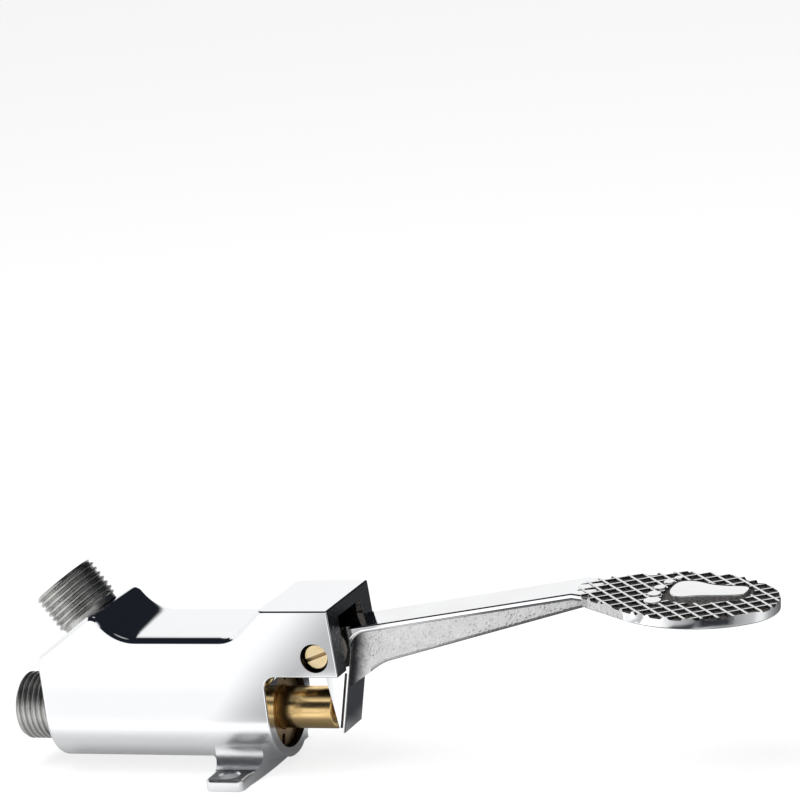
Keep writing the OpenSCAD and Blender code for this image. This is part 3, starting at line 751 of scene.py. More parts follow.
@dataclass
class Casting:
    """The valve's body: barrel, outlet boss, saddle, hood and foot."""

    half: float = 16.2
    belly: float = 3.2
    end_round: float = 1.4
    boss_low: float = 38.6
    ridge: Point = (-41.7, 53.5)
    ridge_round: float = 3.2
    saddle: float = 45.0
    boss_foot: float = -35.06
    boss_bend: float = 14.0
    hood_foot: float = 3.83
    hood_bend: float = 10.0
    top_round: float = 1.8
    crown: float = 0.42
    crown_lines: Sequence[float] = (-12.5, -9.5, -6.5, -3.2, 0, 3.2, 6.5, 9.5, 12.5)
    crown_start: Point = (-41.2, 4.0)
    crown_end: Point = (-1.0, 16.0)
    hood: float = 53.8
    hood_start: float = 13.6
    hood_end: float = 36.8
    hood_round: float = 0.5
    cheek: float = 33.0
    cheek_end: float = 38.0
    mouth: float = 13.2
    mouth_round: float = 3.5
    slot_half: float = 7.5
    slot_start: float = 20.7
    slot_top: float = 50.0
    slot_flare: Point = (2.12, 3.12)
    head_hole: float = 4.5
    lug_top: float = 3.6
    lug_reach: float = 26.0
    lug_half: float = 6.2
    lug_at: float = 21.0
    lug_corner: float = 2.0
    lug_sweep: float = 4.5
    lug_run: float = 20.0
    lug_flare: Point = (11.0, 3.4)
    lug_draw: Sequence[Point] = ((4.0, 1.0), (2.0, 0.62), (0.8, 0.42), (0.0, 0.32))
    outlet: Point = (-50.22, 47.53)
    outlet_tilt: float = math.radians(35)
    bore: Sequence[Point] = (
        (10.03, -64.0), (10.03, -56.5), (9.3, -56.5), (9.3, -47.0), (8.83, -47.0), (8.83, -43.5), (8.0, -43.5),
        (8.0, -13.9), (6.56, -13.9), (6.56, -6.9), (9.27, -6.9), (9.27, 1.4), (12.38, 1.4), (12.38, 14.5),
    )
    passage: Sequence[Point] = ((0, -36.0), (5.5, -36.0), (5.5, -6.5), (8.03, -6.5), (8.03, 3.0), (0, 3.0))

    def outline(self) -> list[Point]:
        """Side outline, from the belly at the inlet end round over the boss, saddle and hood.

        Returns:
            The corners in X and Z.
        """
        inlet_top = (DATUM.inlet, self.boss_low)
        boss_foot, hood_foot = (self.boss_foot, self.saddle), (self.hood_foot, self.saddle)
        hood_top = (self.hood_start, self.hood)
        cheek, mouth_low = (self.cheek_end, self.cheek), (self.mouth, self.belly)
        return [
            (DATUM.inlet, self.belly), inlet_top,
            *fillet(self.ridge, inlet_top, boss_foot, self.ridge_round, 8),
            *fillet(boss_foot, self.ridge, hood_foot, self.boss_bend, 14),
            *fillet(hood_foot, boss_foot, hood_top, self.hood_bend, 10),
            hood_top, (self.hood_end, self.hood), cheek,
            *fillet((self.mouth, self.cheek), cheek, mouth_low, self.mouth_round, 8), mouth_low,
        ]

    def blank(self) -> Form:
        """The solid casting without its holes, all edges rounded.

        Returns:
            The rounded blank.
        """
        form = Form.across(self.outline(), 2 * self.half)

        def side(v: Vert) -> bool:
            """True on one of the two side faces."""
            return near(abs(v.co.y), self.half, 1e-3)

        def keel(e: Edge) -> bool:
            """The two long edges under the barrel."""
            return all(near(v.co.z, self.belly) and side(v) for v in e.verts) and not level(e, X)

        def inlet(e: Edge) -> bool:
            """Edges of the inlet end, below the boss."""
            low = min(v.co.z for v in e.verts) < self.boss_low - 0.01
            return low and all(near(v.co.x, DATUM.inlet) for v in e.verts)

        def upper(e: Edge) -> bool:
            """Edges along the boss, the ramps and the saddle."""
            on_top = all(v.co.z > self.boss_low - 0.05 and v.co.x < self.hood_start + 0.01 for v in e.verts)
            return on_top and all(side(v) for v in e.verts) and level(e, Y) and not level(e, X)

        def hood(e: Edge) -> bool:
            """Edges of the hood, the cheeks and the mouth."""
            return bent(e, 30) and all(v.co.x > self.mouth - 0.01 and v.co.z > self.belly + 1 for v in e.verts)

        form.round_edges(keel, self.half - 0.01, 16).settle(0.05)
        form.round_edges(inlet, self.end_round, 5)
        self.crown_top(form)
        form.round_edges(upper, self.top_round, 6)
        form.round_edges(hood, self.hood_round, 4)
        return form.settle()

    def crown_top(self, form: Form) -> None:
        """Bows the saddle and the boss's ramp slightly up in the middle.

        Args:
            form: The blank, whose top faces are divided along its length.
        """
        low = self.saddle - 0.5
        for y in self.crown_lines:
            tops = [f for f in form.bm.faces if f.normal.z > 0.3 and f.calc_center_median().z > low]
            edges, verts = {e for f in tops for e in f.edges}, {v for f in tops for v in f.verts}
            bmesh.ops.bisect_plane(
                form.bm, geom=[*verts, *edges, *tops], plane_co=(0, y, 0), plane_no=(0, 1, 0), dist=1e-5
            )
        (start, rise), (end, fall) = self.crown_start, self.crown_end
        for vert in form.bm.verts:
            if vert.co.z > low and abs(vert.co.y) < self.half - 0.1:
                inlet = min(max((vert.co.x - start) / rise, 0.0), 1.0)
                hood = min(max((end - vert.co.x) / fall, 0.0), 1.0)
                vert.co.z += self.crown * (1 - (vert.co.y / self.half) ** 2) * inlet * hood

    def foot_plan(self) -> list[Point]:
        """Plan of the foot: two lugs that widen in hollow curves towards the barrel.

        Returns:
            The corners in X and Y.
        """
        w, reach, run, corner = self.lug_half, self.lug_reach, self.lug_run, self.lug_corner
        steps = [-run + run / 8 * i for i in range(17)]
        right = [(w + self.lug_flare[1] * (1 - (y / run) ** 2), y) for y in steps]
        left = [(-w - self.lug_flare[0] * (1 - abs(y) / run) ** 2, y) for y in steps]
        return [
            *fillet((w, -reach), (-w, -reach), (w, -run), corner, 5), *right,
            *fillet((w, reach), (w, run), (-w, reach), corner, 5),
            *fillet((-w, reach), (w, reach), (-w, run), corner, 5), *reversed(left),
            *fillet((-w, -reach), (-w, -run), (w, -reach), corner, 5),
        ]

    def foot(self) -> Form:
        """The foot: two lugs whose tops sweep up into the barrel.

        Returns:
            The foot with its two screw holes.
        """
        reach, top, r = self.lug_reach + 0.5, self.lug_top, self.lug_sweep
        rise = self.belly + self.half - top - r
        sweep_y = math.sqrt((self.half - 0.08 + r) ** 2 - rise**2)
        up = math.degrees(math.atan2(rise, -sweep_y))
        right = [(reach, -1.0), (reach, top), *arc((sweep_y, top + r), r, -90, up - 360, 12), (6.0, 12.0)]
        section = right + [(-y, z) for y, z in reversed(right)]
        form = Form.upright(self.foot_plan(), 0.0, 13.0)
        for height, draw in self.lug_draw:
            if height:
                form.slice((0, 0, height), (0, 0, 1))
            for vert in form.bm.verts:
                wide = abs(vert.co.x) - self.lug_half
                if near(vert.co.z, height, MERGE) and wide > 0:
                    vert.co.x = math.copysign(self.lug_half + wide * draw, vert.co.x)
        form.work(Form.slab([Vector((-20, y, z)) for y, z in section], Vector((40, 0, 0))), Cut.WITHIN)
        form.round_edges(lambda e: all(near(v.co.z, top, 1e-3) for v in e.verts) and bent(e, 40), 0.9, 4)
        hole = [(0, -1), (3.0, -1), (3.0, top - 0.55), (3.75, top + 0.2), (0, top + 0.2)]
        for side in (-1, 1):
            form.work(Form.lathe(hole, Matrix.Translation((0, side * self.lug_at, 0)), 48), Cut.AWAY)
        return form.settle()

    def bores(self) -> Form:
        """The stepped hole along the barrel."""
        return Form.lathe([(0.0, self.bore[0][1]), *self.bore, (0.0, self.bore[-1][1])], DATUM.barrel())

    def outlet_place(self) -> Matrix:
        """Where the outlet's axis leaves the boss."""
        return place_at(*self.outlet, -self.outlet_tilt)

    def slot(self) -> Form:
        """The slot for the lever's hub, with a chamfered mouth.

        Returns:
            The cutter.
        """
        w, start, (back, out) = self.slot_half, self.slot_start, self.slot_flare
        inner, outer = self.cheek_end - back, self.cheek_end + 1.0
        plan = [(start, -w), (inner, -w), (outer, -w - out), (outer, w + out), (inner, w), (start, w)]
        return Form.upright(plan, self.cheek - 1, self.slot_top)

    def pin_hole(self) -> Form:
        """The stepped hole for the pivot pin.

        Returns:
            The cutter.
        """
        head = self.head_hole
        profile = [(0, -18), (head, -18), (head, -10.8), (3.03, -10.8), (3.03, 7.5), (2.53, 7.5), (2.53, 18), (0, 18)]
        return Form.lathe(profile, DATUM.pin(), 64)

    def inner(self, face: Face) -> bool:
        """Tells a face of a hole or of the slot, which no polishing wheel reaches.

        Args:
            face: A face of the cut casting.

        Returns:
            True where it lies inside.
        """
        at = face.calc_center_median()
        y, w = abs(at.y), self.slot_half
        under = at.z < self.slot_top + 0.05
        from_pin = math.hypot(at.x - DATUM.pivot[0], at.z - DATUM.pivot[1])
        pin = from_pin < self.head_hole + 0.1 and y < self.half - 0.05 and at.y < w + 0.1
        end = face.normal.x > 0.9 and at.x > 30
        slot = at.x > self.slot_start - 0.1 and y < w + 0.01 and self.cheek + 0.3 < at.z and under and not end
        flare = at.x > self.cheek_end - 2.3 and w < y < w + 3.2 and abs(face.normal.y) > 0.5 and under
        bore = math.hypot(at.y, at.z - DATUM.axis) < self.bore[-1][0] + 0.07 and at.x < self.mouth - 0.05
        return pin or slot or flare or bore

    def make(self) -> None:
        """Builds and dresses the casting."""
        form = self.blank()
        form.work(self.foot(), Cut.ON)
        hole = Form.lathe(self.passage, self.outlet_place(), 64)
        for cutter in (self.bores(), hole, self.slot(), self.pin_hole()):
            form.work(cutter, Cut.AWAY)
        for face in form.bm.faces:
            middle = face.calc_center_median()
            end = face.normal.x > 0.9 and middle.x > self.hood_end - 0.5
            end = end or (face.normal.z > 0.95 and near(middle.z, self.lug_top, 0.05))
            # Holes and the slot take the inside finish; end faces and lug tops take the ground finish, whose dark tone
            # is painted shade.
            face.material_index = 1 if self.inner(face) else 2 if end else 0
        skins = [SKIN.chrome, SKIN.inside, SKIN.ground_and_painted_shade]
        form.piece("valve_casting", skins, Body.FIXED, Slot.CASTING, "valve_body")


@dataclass
class Stub:
    """A threaded hose stub: a turned nipple with a cut thread."""

    name: str
    node: str
    place: Matrix
    start: float
    end: float
    neck: float
    spigot: float
    inner: Sequence[Point]
    radius: float = 10.4775
    pitch: float = 1.814
    depth: float = 0.85
    steps: int = 72

    def thread(self) -> Form:
        """The cut thread between start and end, closed by flat ends with a chamfer.

        Returns:
            The closed thread about the Z axis.
        """
        form = Form()
        bm = form.bm
        turns = math.ceil((self.end - self.start) / self.pitch) + 2
        root, crest = self.radius - self.depth, self.radius
        tooth = (
            (0.0, root), (0.1, root + 0.1), (0.3, crest - 0.12), (0.42, crest), (0.6, crest),
            (0.72, crest - 0.12), (0.92, root + 0.1),
        )
        low = self.start - 1.5 * self.pitch
        line = [(r, low + (n + t) * self.pitch) for n in range(turns) for t, r in tooth]
        verts = [bm.verts.new((r, 0, h)) for r, h in line]
        edges = [bm.edges.new(pair) for pair in zip(verts, verts[1:])]
        bmesh.ops.spin(
            bm, geom=verts + edges, cent=(0, 0, 0), axis=(0, 0, 1), dvec=(0, 0, self.pitch / self.steps),
            angle=2 * math.pi, steps=self.steps,
        )
        bmesh.ops.remove_doubles(bm, verts=bm.verts, dist=1e-3)
        for at, up in ((self.start, -1), (self.end, 1)):
            form.slice((0, 0, at), (0, 0, up), clear=True)
        for vert in bm.verts:
            reach = math.hypot(vert.co.x, vert.co.y)
            most = root + 0.15 + max(0.0, min(self.end - vert.co.z, vert.co.z - self.start))
            if reach > most:
                vert.co.x *= most / reach
                vert.co.y *= most / reach
        return form.close_rims()

    def make(self) -> None:
        """Builds and dresses the stub."""
        form = self.thread()
        spigot, neck, top = self.spigot, self.neck, self.start + 0.8
        shank = [(0, -5.0), (spigot, -5.0), (spigot, 0.0), (neck, 0.0), (neck, top), (0, top)]
        hole = [(0, self.inner[0][1]), *self.inner, (0, self.inner[-1][1])]
        form.work(Form.lathe(shank, Matrix.Identity(4), self.steps), Cut.ON)
        form.work(Form.lathe(hole, Matrix.Identity(4), self.steps), Cut.AWAY)
        form.place(self.place)
        form.piece(self.name, [SKIN.thread], Body.FIXED, Slot.NICKEL, self.node, crease=28.0)


@dataclass
class Works:
    """The plunger, the gland, the pivot pin and the return spring."""

    tip: float = 30.78
    rod: float = 6.5
    dome: float = 16.0
    gland_bore: float = 6.56
    gland_radius: float = 12.35
    gland_ends: Point = (1.4, 11.2)
    spanner_at: Point = (9.925, 9.225)
    spanner_half: Point = (0.7, 1.1)
    slant: float = math.radians(20)
    head: float = 4.0
    groove: float = 0.55
    spring_ends: Point = (-67.5, -53.55)
    spring_reach: float = 5.9
    wire: float = 0.7
    turns: int = 5
    stroke: float = 0.0038

    def plunger(self) -> None:
        """The pushed rod with its domed end and thin stem."""
        rise = self.dome - math.sqrt(self.dome**2 - self.rod**2)
        swing = math.degrees(math.asin((self.rod - 0.25) / self.dome))
        crown = [(r, h) for h, r in arc((self.tip - self.dome, 0), self.dome, swing, 0, 8)]
        profile = [
            (0, -58.35), (2.1, -58.35), (2.5, -57.95), (2.5, -48.15), (3.9, -48.15), (3.9, -46.15), (2.75, -46.15),
            (2.75, -11.9), (6.2, -11.9), (self.rod, -11.6), (self.rod, self.tip - rise - 0.3), *crown,
        ]
        profile[-1] = (0.0, self.tip)
        form = Form.lathe(profile, DATUM.barrel())
        form.piece("plunger_rod", [SKIN.rod], Body.PLUNGER, Slot.BRASS, "plunger", crease=40.0)

    def gland(self) -> None:
        """The slotted ring that holds the seals."""
        bore, out, (low, top) = self.gland_bore, self.gland_radius, self.gland_ends
        profile = [(bore, low), (out, low), (out, top - 0.5), (out - 0.5, top), (bore + 0.4, top), (bore, top - 0.4)]
        form = Form.lathe(profile, DATUM.barrel(), 96, ring=True)
        (at, middle), (run, end) = self.spanner_at, self.spanner_half
        plan = [*arc((middle, run), end, 0, 180, 8), *arc((middle, -run), end, 180, 360, 8)]
        quarter = Matrix.Translation((at, 0, 0)) @ Matrix.Rotation(QUARTER, 4, "Z")
        quarter = quarter @ Matrix.Translation((-middle, 0, 0))
        for side in (0.0, math.pi):
            turn = Matrix.Rotation(side - self.slant, 4, "Z")
            slot = Form.upright(plan, top - 3.0, top + 0.8)
            form.work(slot.place(DATUM.barrel() @ turn @ quarter), Cut.AWAY)
        form.piece("gland_ring", [SKIN.bronze], Body.FIXED, Slot.BRASS, "gland_nut")

    def pin(self) -> None:
        """The pivot pin with its slotted head."""
        head, w = self.head, self.groove
        profile = [
            (0, -14.4), (head - 0.4, -14.4), (head, -14.05), (head, -10.8), (3.0, -10.8), (3.0, 7.5), (2.5, 7.5),
            (2.5, 15.3), (2.1, 15.7), (0, 15.7),
        ]
        form = Form.lathe(profile, Matrix.Identity(4), 64)
        groove = Form.upright([(-5, -w), (5, -w), (5, w), (-5, w)], -16.0, -13.2)
        form.work(groove.place(Matrix.Rotation(-self.slant, 4, "Z")), Cut.AWAY)
        for face in form.bm.faces:
            middle = face.calc_center_median()
            sunk = -14.3 < middle.z < -13.1 and math.hypot(middle.x, middle.y) < head - 0.1
            face.material_index = 1 if sunk else 0
        form.place(DATUM.pin())
        form.piece("hinge_pin", [SKIN.pin, SKIN.bronze], Body.FIXED, Slot.BRASS, "pivot_pin")

    def spring(self) -> None:
        """The return spring: a round wire wound in even turns."""
        (left, right), wire, turns = self.spring_ends, self.wire, self.turns
        rise = (right - left - 2 * wire) / turns
        form = Form()
        rim = bmesh.ops.create_circle(form.bm, cap_ends=False, radius=wire, segments=12)["verts"]
        bmesh.ops.rotate(form.bm, verts=rim, cent=(0, 0, 0), matrix=Matrix.Rotation(QUARTER, 3, "X"))
        bmesh.ops.translate(form.bm, verts=rim, vec=(self.spring_reach, 0, left + wire))
        steps = 36 * turns
        bmesh.ops.spin(
            form.bm, geom=form.bm.verts[:] + form.bm.edges[:], cent=(0, 0, 0), axis=(0, 0, 1),
            dvec=(0, 0, rise * turns / steps), angle=2 * math.pi * turns, steps=steps,
        )
        form.close_rims().place(DATUM.barrel())
        made = form.piece("coil_spring", [SKIN.steel], Body.FIXED, Slot.SPRING, "return_spring")
        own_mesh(made)

    def make(self) -> None:
        """Builds and dresses all of them."""
        for build in (self.plunger, self.gland, self.pin, self.spring):
            build()


@dataclass
class Lever:
    """The pedal lever: hub and tail, flanged arm with its web, and the treaded pad."""

    hub: float = 7.4
    hub_width: float = 13.36
    hub_low: Point = (29.17, 31.9)
    eye: float = 4.59
    tip: Point = (32.2, 12.4)
    tip_width: float = 1.3
    groove_ends: Point = (14.0, 31.4)
    groove_edges: Point = (1.65, 0.8)
    groove_depth: float = 0.6
    corner: Point = (39.6, 46.0)
    inner: Point = (40.32, 43.95)
    low_corner: Point = (39.45, 39.9)
    arm_end: Point = (112.0, 56.7)
    arm_tongue: Sequence[Point] = ((118.0, 55.8), (118.0, 53.7))
    flange: float = 17.0
    thick: float = 2.2
    web: float = 9.0
    web_foot: Point = (36.0, 26.4)
    web_rise: float = math.radians(14.6)
    knee: Point = (47.9, 33.9)
    root_ends: Point = (22.0, 45.0)
    root_reach: float = 6.0
    pad_thick: float = 3.5
    pad_end: float = 9.2
    pad_end_radius: float = 17.5
    pad_drop: float = 7.4
    pad_side_radius: float = 29.3
    neck_reach: float = -33.8
    neck_radius: float = 12.5
    neck_cast: float = -15.0
    rib: float = 0.8
    rib_half: Point = (0.3, 0.85)
    rib_count: int = 8
    rib_start: float = 2.69
    pitch: float = 4.45
    sole: Sequence[Point] = (
        (-4.7, -2.9), (-6.6, 0.9), (-7.0, 5.0), (-6.7, 10.0), (-3.5, 12.0), (0.2, 11.4), (2.9, 10.0), (8.0, 9.6),
        (13.6, 11.1), (15.4, 9.6), (15.6, 6.0), (15.3, 3.0), (9.6, 0.9), (2.6, -1.0), (-2.1, -4.0),
    )
    toes: Sequence[tuple[Point, Point]] = (
        ((-7.9, 14.0), (1.35, 1.7)), ((-9.4, 9.6), (1.6, 2.0)), ((-10.4, 4.0), (1.8, 2.15)),
        ((-10.1, -2.1), (2.0, 2.5)), ((-8.6, -8.3), (2.6, 3.0)),
    )
    plain: Sequence[Point] = (
        (-8.0, -1.5), (-8.3, 5.0), (-7.9, 10.8), (-3.8, 13.4), (0.2, 12.8), (3.0, 11.4), (8.0, 11.0), (13.8, 12.4),
        (16.8, 10.6), (17.4, 5.5), (16.6, 0.1), (12.1, -3.5), (7.3, -6.3), (3.8, -7.4), (-1.2, -8.4), (-4.0, -7.2),
        (-7.0, -5.0),
    )

    def lean(self) -> float:
        """Slope of the tail's outer face: X per unit of height."""
        return (self.inner[0] - self.tip[0] - self.tip_width) / (self.inner[1] - self.tip[1])

    def face_x(self, z: float) -> float:
        """Where the tail's outer face stands at a height."""
        return self.tip[0] + self.tip_width + (z - self.tip[1]) * self.lean()

    def tail(self) -> Form:
        """Hub and tail, with rounded long edges and a groove on each side.

        Returns:
            The closed form.
        """
        outer = (self.tip[0] + self.tip_width, self.tip[1])
        outline = [*arc(DATUM.pivot, self.hub, 90, 255, 24), self.hub_low, self.tip, outer, self.inner, self.corner]
        form = Form.across(outline, self.hub_width)
        form.round_edges(
            lambda e: all(v.co.x > self.tip[0] + 0.5 and v.co.z < 45 for v in e.verts) and level(e, Y), 0.4, 4
        )
        (low, high), (far, close) = self.groove_ends, self.groove_edges
        start, end = self.face_x(low), self.face_x(high)
        groove = [(start - far, low), (start - close, low), (end - close, high), (end - far, high)]
        for side in (-1, 1):
            at = side * (self.hub_width / 2 - self.groove_depth)
            form.work(Form.slab([Vector((x, at, z)) for x, z in groove], Vector((0, side * 3, 0))), Cut.AWAY)
        return form.settle()

    def arm(self) -> Form:
        """The flange, turned down at its inner end.

        Returns:
            The closed form.
        """
        low = (self.arm_end[0], self.arm_end[1] - self.thick)
        bend = fillet(self.inner, low, self.low_corner, 6.0, 8)
        form = Form.across([self.corner, self.arm_end, *self.arm_tongue, low, *bend, self.low_corner], self.flange)
        rise = (self.arm_end[1] - self.corner[1]) / (self.arm_end[0] - self.corner[0])

        def under(v: Vert) -> bool:
            """True on the flange's lower face."""
            rising = self.corner[1] + (v.co.x - self.corner[0]) * rise
            falling = self.arm_end[1] - (v.co.x - self.arm_end[0]) * 0.15
            return v.co.z < min(rising, falling) - 1.2

        def long_edge(e: Edge, below: bool) -> bool:
            """Long edges of the flange's upper or lower face, beyond the turned end."""
            beyond = max(v.co.x for v in e.verts) > self.inner[0] + 0.2 and level(e, Y) and bent(e, 25)
            return beyond and all(v.co.z > self.low_corner[1] + 0.01 and under(v) == below for v in e.verts)

        form.round_edges(lambda e: long_edge(e, False), 0.45, 4)
        form.round_edges(lambda e: long_edge(e, True), 1.0, 4)
        return form.settle()

    def web_outline(self) -> list[Point]:
        """Side outline of the web, with a hollow bend where it leaves the tail.

        Returns:
            The corners in X and Z.
        """
        end = self.arm_end[0] + self.thick
        low_end = (end, self.knee[1] + (end - self.knee[0]) * math.tan(self.web_rise))
        bend = fillet(self.knee, self.web_foot, low_end, 16.0, 8)
        return [self.web_foot, *bend, low_end, (end, 55.1), (40.32, 45.05), (37.0, 43.95)]

    def rib_web(self) -> Form:
        """The web under the arm.

        Returns:
            The closed form.
        """
        form = Form.across(self.web_outline(), self.web)

        def lower(e: Edge) -> bool:
            """The long lower edges."""
            free = all(v.co.z < 52 and v.co.x > 37 or v.co.z < 30 for v in e.verts)
            return free and level(e, Y) and bent(e, 40)

        return form.round_edges(lower, 1.2, 4).settle()

    def web_root(self, side: int) -> Form:
        """The hollow rounding between the web and the tail's outer face.

        Args:
            side: -1 for the front, 1 for the back.

        Returns:
            The filling, trimmed to the web's outline.
        """
        (low, high), reach = self.root_ends, self.root_reach
        x = self.face_x(low)
        half, out = self.web / 2, self.hub_width / 2 - 0.6
        turns = [math.radians(9 * i) for i in range(11)]
        hollow = [(x + reach * (1 - math.sin(a)), half + (out - half) * (1 - math.cos(a))) for a in turns]
        plan = [(x - 1, half - 1), (x + reach, half - 1), *hollow, (x - 1, out)]
        push = Vector((self.lean() * (high - low), 0, high - low))
        form = Form.slab([Vector((px, side * py, low)) for px, py in plan], push)
        return form.work(Form.across(self.web_outline(), 2 * out + 2), Cut.WITHIN)

    def pad_plan(self) -> list[Point]:
        """Plan of the oval pad, drawn out straight to a round neck, in the pad's own frame.

        Returns:
            The corners in X and Y.
        """
        ends, drop, big, small = self.pad_end, self.pad_drop, self.pad_side_radius, self.neck_radius
        tangent = math.degrees(math.atan2(drop, ends))
        neck_x = self.neck_reach + small
        apart = math.hypot(neck_x, drop)
        touch = math.degrees(math.atan2(drop, neck_x)) - math.degrees(math.acos((big - small) / apart))
        tip = arc((ends, 0), self.pad_end_radius, 0, tangent, 10)
        side = arc((0, -drop), big, tangent, touch, 26)
        upper = [*tip, *side[1:], *arc((neck_x, 0), small, touch, 180, 12)]
        return [*upper, *[(x, -y) for x, y in reversed(upper[1:-1])]]

    def on_rim(self, face: Face, plan: Sequence[Point]) -> bool:
        """Tells an upright face on the pad's outline.

        Args:
            face: A face of the pad.
            plan: The outline.

        Returns:
            True where the face lies on it.
        """
        middle = face.calc_center_median().to_2d()

        def gap(a: Vector, b: Vector) -> float:
            """Distance of the face's middle from one side of the outline."""
            share = (middle - a).dot(b - a) / max((b - a).length_squared, 1e-9)
            return (middle - a.lerp(b, min(max(share, 0.0), 1.0))).length

        ends = [Vector(p) for p in plan]
        return abs(face.normal.z) < 0.4 and min(gap(a, b) for a, b in zip(ends, ends[1:] + ends[:1])) < 0.2

    def ribs(self) -> Form:
        """A slab of crossing ribs, larger than the pad.

        Returns:
            The closed slab in the pad's own frame.
        """
        (top, root), count = self.rib_half, self.rib_count
        lines = [i * self.pitch + d for i in range(-count, count + 1) for d in (-root, -top, top, root)]
        form = Form()
        cells = len(lines) - 1
        bmesh.ops.create_grid(form.bm, x_segments=cells, y_segments=cells, size=1.0)
        number = {}
        for vert in form.bm.verts:
            i, j = (round((c + 1) / 2 * cells) for c in (vert.co.x, vert.co.y))
            crest = i % 4 in (1, 2) or j % 4 in (1, 2)
            vert.co = (lines[i], lines[j], 0.0 if crest else -self.rib)
            number[vert] = (i, j)
        for face in list(form.bm.faces):
            low = [v for v in face.verts if v.co.z < -0.01]
            if len(low) == 1:
                i, j = number[low[0]]
                far = next(v for v in face.verts if number[v][0] != i and number[v][1] != j)
                bmesh.utils.face_split(face, low[0], far)
        rim = [e for e in form.bm.edges if e.is_boundary]
        skirt = bmesh.ops.extrude_edge_only(form.bm, edges=rim)["geom"]
        for vert in (g for g in skirt if isinstance(g, Vert)):
            vert.co.z = -self.rib - 0.6
        turn = Matrix.Rotation(math.radians(45), 4, "Z")
        return form.close_rims().place(Matrix.Translation((self.rib_start, 0, 0)) @ turn)

    def soften(self, outline: Sequence[Point]) -> list[Point]:
        """Cuts an outline's corners twice, into a smooth curve.

        Args:
            outline: The corners.

        Returns:
            The points of the curve.
        """
        points = [Vector(p) for p in outline]
        for _ in range(2):
            pairs = zip(points, points[1:] + points[:1])
            points = [a.lerp(b, share) for a, b in pairs for share in (0.25, 0.75)]
        return [(p.x, p.y) for p in points]

    def make_arm(self) -> None:
        """Builds and dresses the hub, tail, arm and web."""
        form = self.tail()
        for other in (self.arm(), self.rib_web(), self.web_root(-1), self.web_root(1)):
            form.work(other, Cut.ON)
        eye = [(0, -10), (self.eye, -10), (self.eye, 10), (0, 10)]
        form.work(Form.lathe(eye, DATUM.pin(), 64), Cut.AWAY)
        for face in form.bm.faces:
            middle = face.calc_center_median()
            proud = middle.x - self.face_x(middle.z)
            sunk = self.hub_width / 2 - abs(middle.y)
            on_web = sunk > 0.5 and proud > 0.05 and face.normal.z < 0.5
            in_groove = proud < -0.05 and 14 < middle.z < 31.5 and 0.1 < sunk < 0.65
            on_edge = -0.82 < proud < 0.01 and sunk < 0.42 and middle.z < 45
            # The side grooves take the dark inside finish as painted shade.
            face.material_index = 3 if in_groove else 2 if on_edge else 1 if on_web else 0
        skins = [SKIN.arm_chrome, SKIN.cast, SKIN.side, SKIN.inside]
        form.piece("lever_arm", skins, Body.PEDAL, Slot.LEVER, "pedal_lever")

    def make_pad(self, place: Matrix) -> None:
        """Builds and dresses the treaded pad.

        Args:
            place: Where the pad's own frame stands.
        """
        plan = self.pad_plan()
        plate = Form.upright(plan, -self.pad_thick, -self.rib - 0.3)
        plate.round_edges(lambda e: all(v.co.z < -self.pad_thick + 0.01 for v in e.verts), 0.4, 3)
        tread = self.ribs()
        tread.work(Form.upright(plan, -5.0, 3.0), Cut.WITHIN)
        tread.work(Form.upright(self.soften(self.plain), -self.rib, 3.0), Cut.AWAY)
        plate.work(tread, Cut.ON)
        for face in plate.bm.faces:
            outer = 2 if face.calc_center_median().x < self.neck_cast else 1
            face.material_index = outer if self.on_rim(face, plan) else 0
        skins = [SKIN.tread, SKIN.rim, SKIN.cast]
        plate.place(place).piece("pedal_pad", skins, Body.PEDAL, Slot.LEVER, "pedal_lever", crease=20.0)

    def make_sign(self, place: Matrix) -> None:
        """Builds and dresses the raised sole and toes.

        Args:
            place: Where the pad's own frame stands.
        """
        sign = Form.upright(self.soften(self.sole), -1.0, 0.25)
        turns = [i * math.pi / 10 for i in range(20)]
        for (x, y), (long, wide) in self.toes:
            oval = [(x + long * math.cos(a), y + wide * math.sin(a)) for a in turns]
            sign.take_in(Form.upright(oval, -1.0, 0.2))
        sign.round_edges(lambda e: all(v.co.z > 0.1 for v in e.verts), 0.25, 3)
        sign.place(place).piece("foot_sign", [SKIN.sign], Body.PEDAL, Slot.LEVER, crease=40.0)

    def make(self) -> None:
        """Builds and dresses the whole lever."""
        place = Matrix.Translation(DATUM.pad) @ Matrix.Rotation(DATUM.pad_tilt, 4, "Y")
        self.make_arm()
        self.make_pad(place)
        self.make_sign(place)


@dataclass
class Hidden:
    """The pieces inside that keep their plain shapes."""

    fibre: Sequence[str] = ("inlet_gasket", "outlet_gasket")
    brass: Sequence[str] = ("valve_seat", "gland_washer", "seal_spacer", "poppet_holder", "poppet_nut")
    rubber: Sequence[str] = ("gland_o_ring_outer", "gland_o_ring_inner", "poppet_washer")
    nylon: Sequence[str] = ("pivot_bush",)
    # Hub washers, in nylon darkened as painted shade from the slot.
    shade_darkened_nylon: Sequence[str] = ("hub_washer_front", "hub_washer_rear")

    def make(self) -> None:
        """Dresses them."""
        for kind in ("fibre", "brass", "rubber", "nylon", "shade_darkened_nylon"):
            finish = getattr(SKIN, kind)
            for name in getattr(self, kind):
                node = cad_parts[name]
                node.data.materials.clear()
                node.data.materials.append(finish.material())
                LOG.info("node %s: %s", name, finish.name)


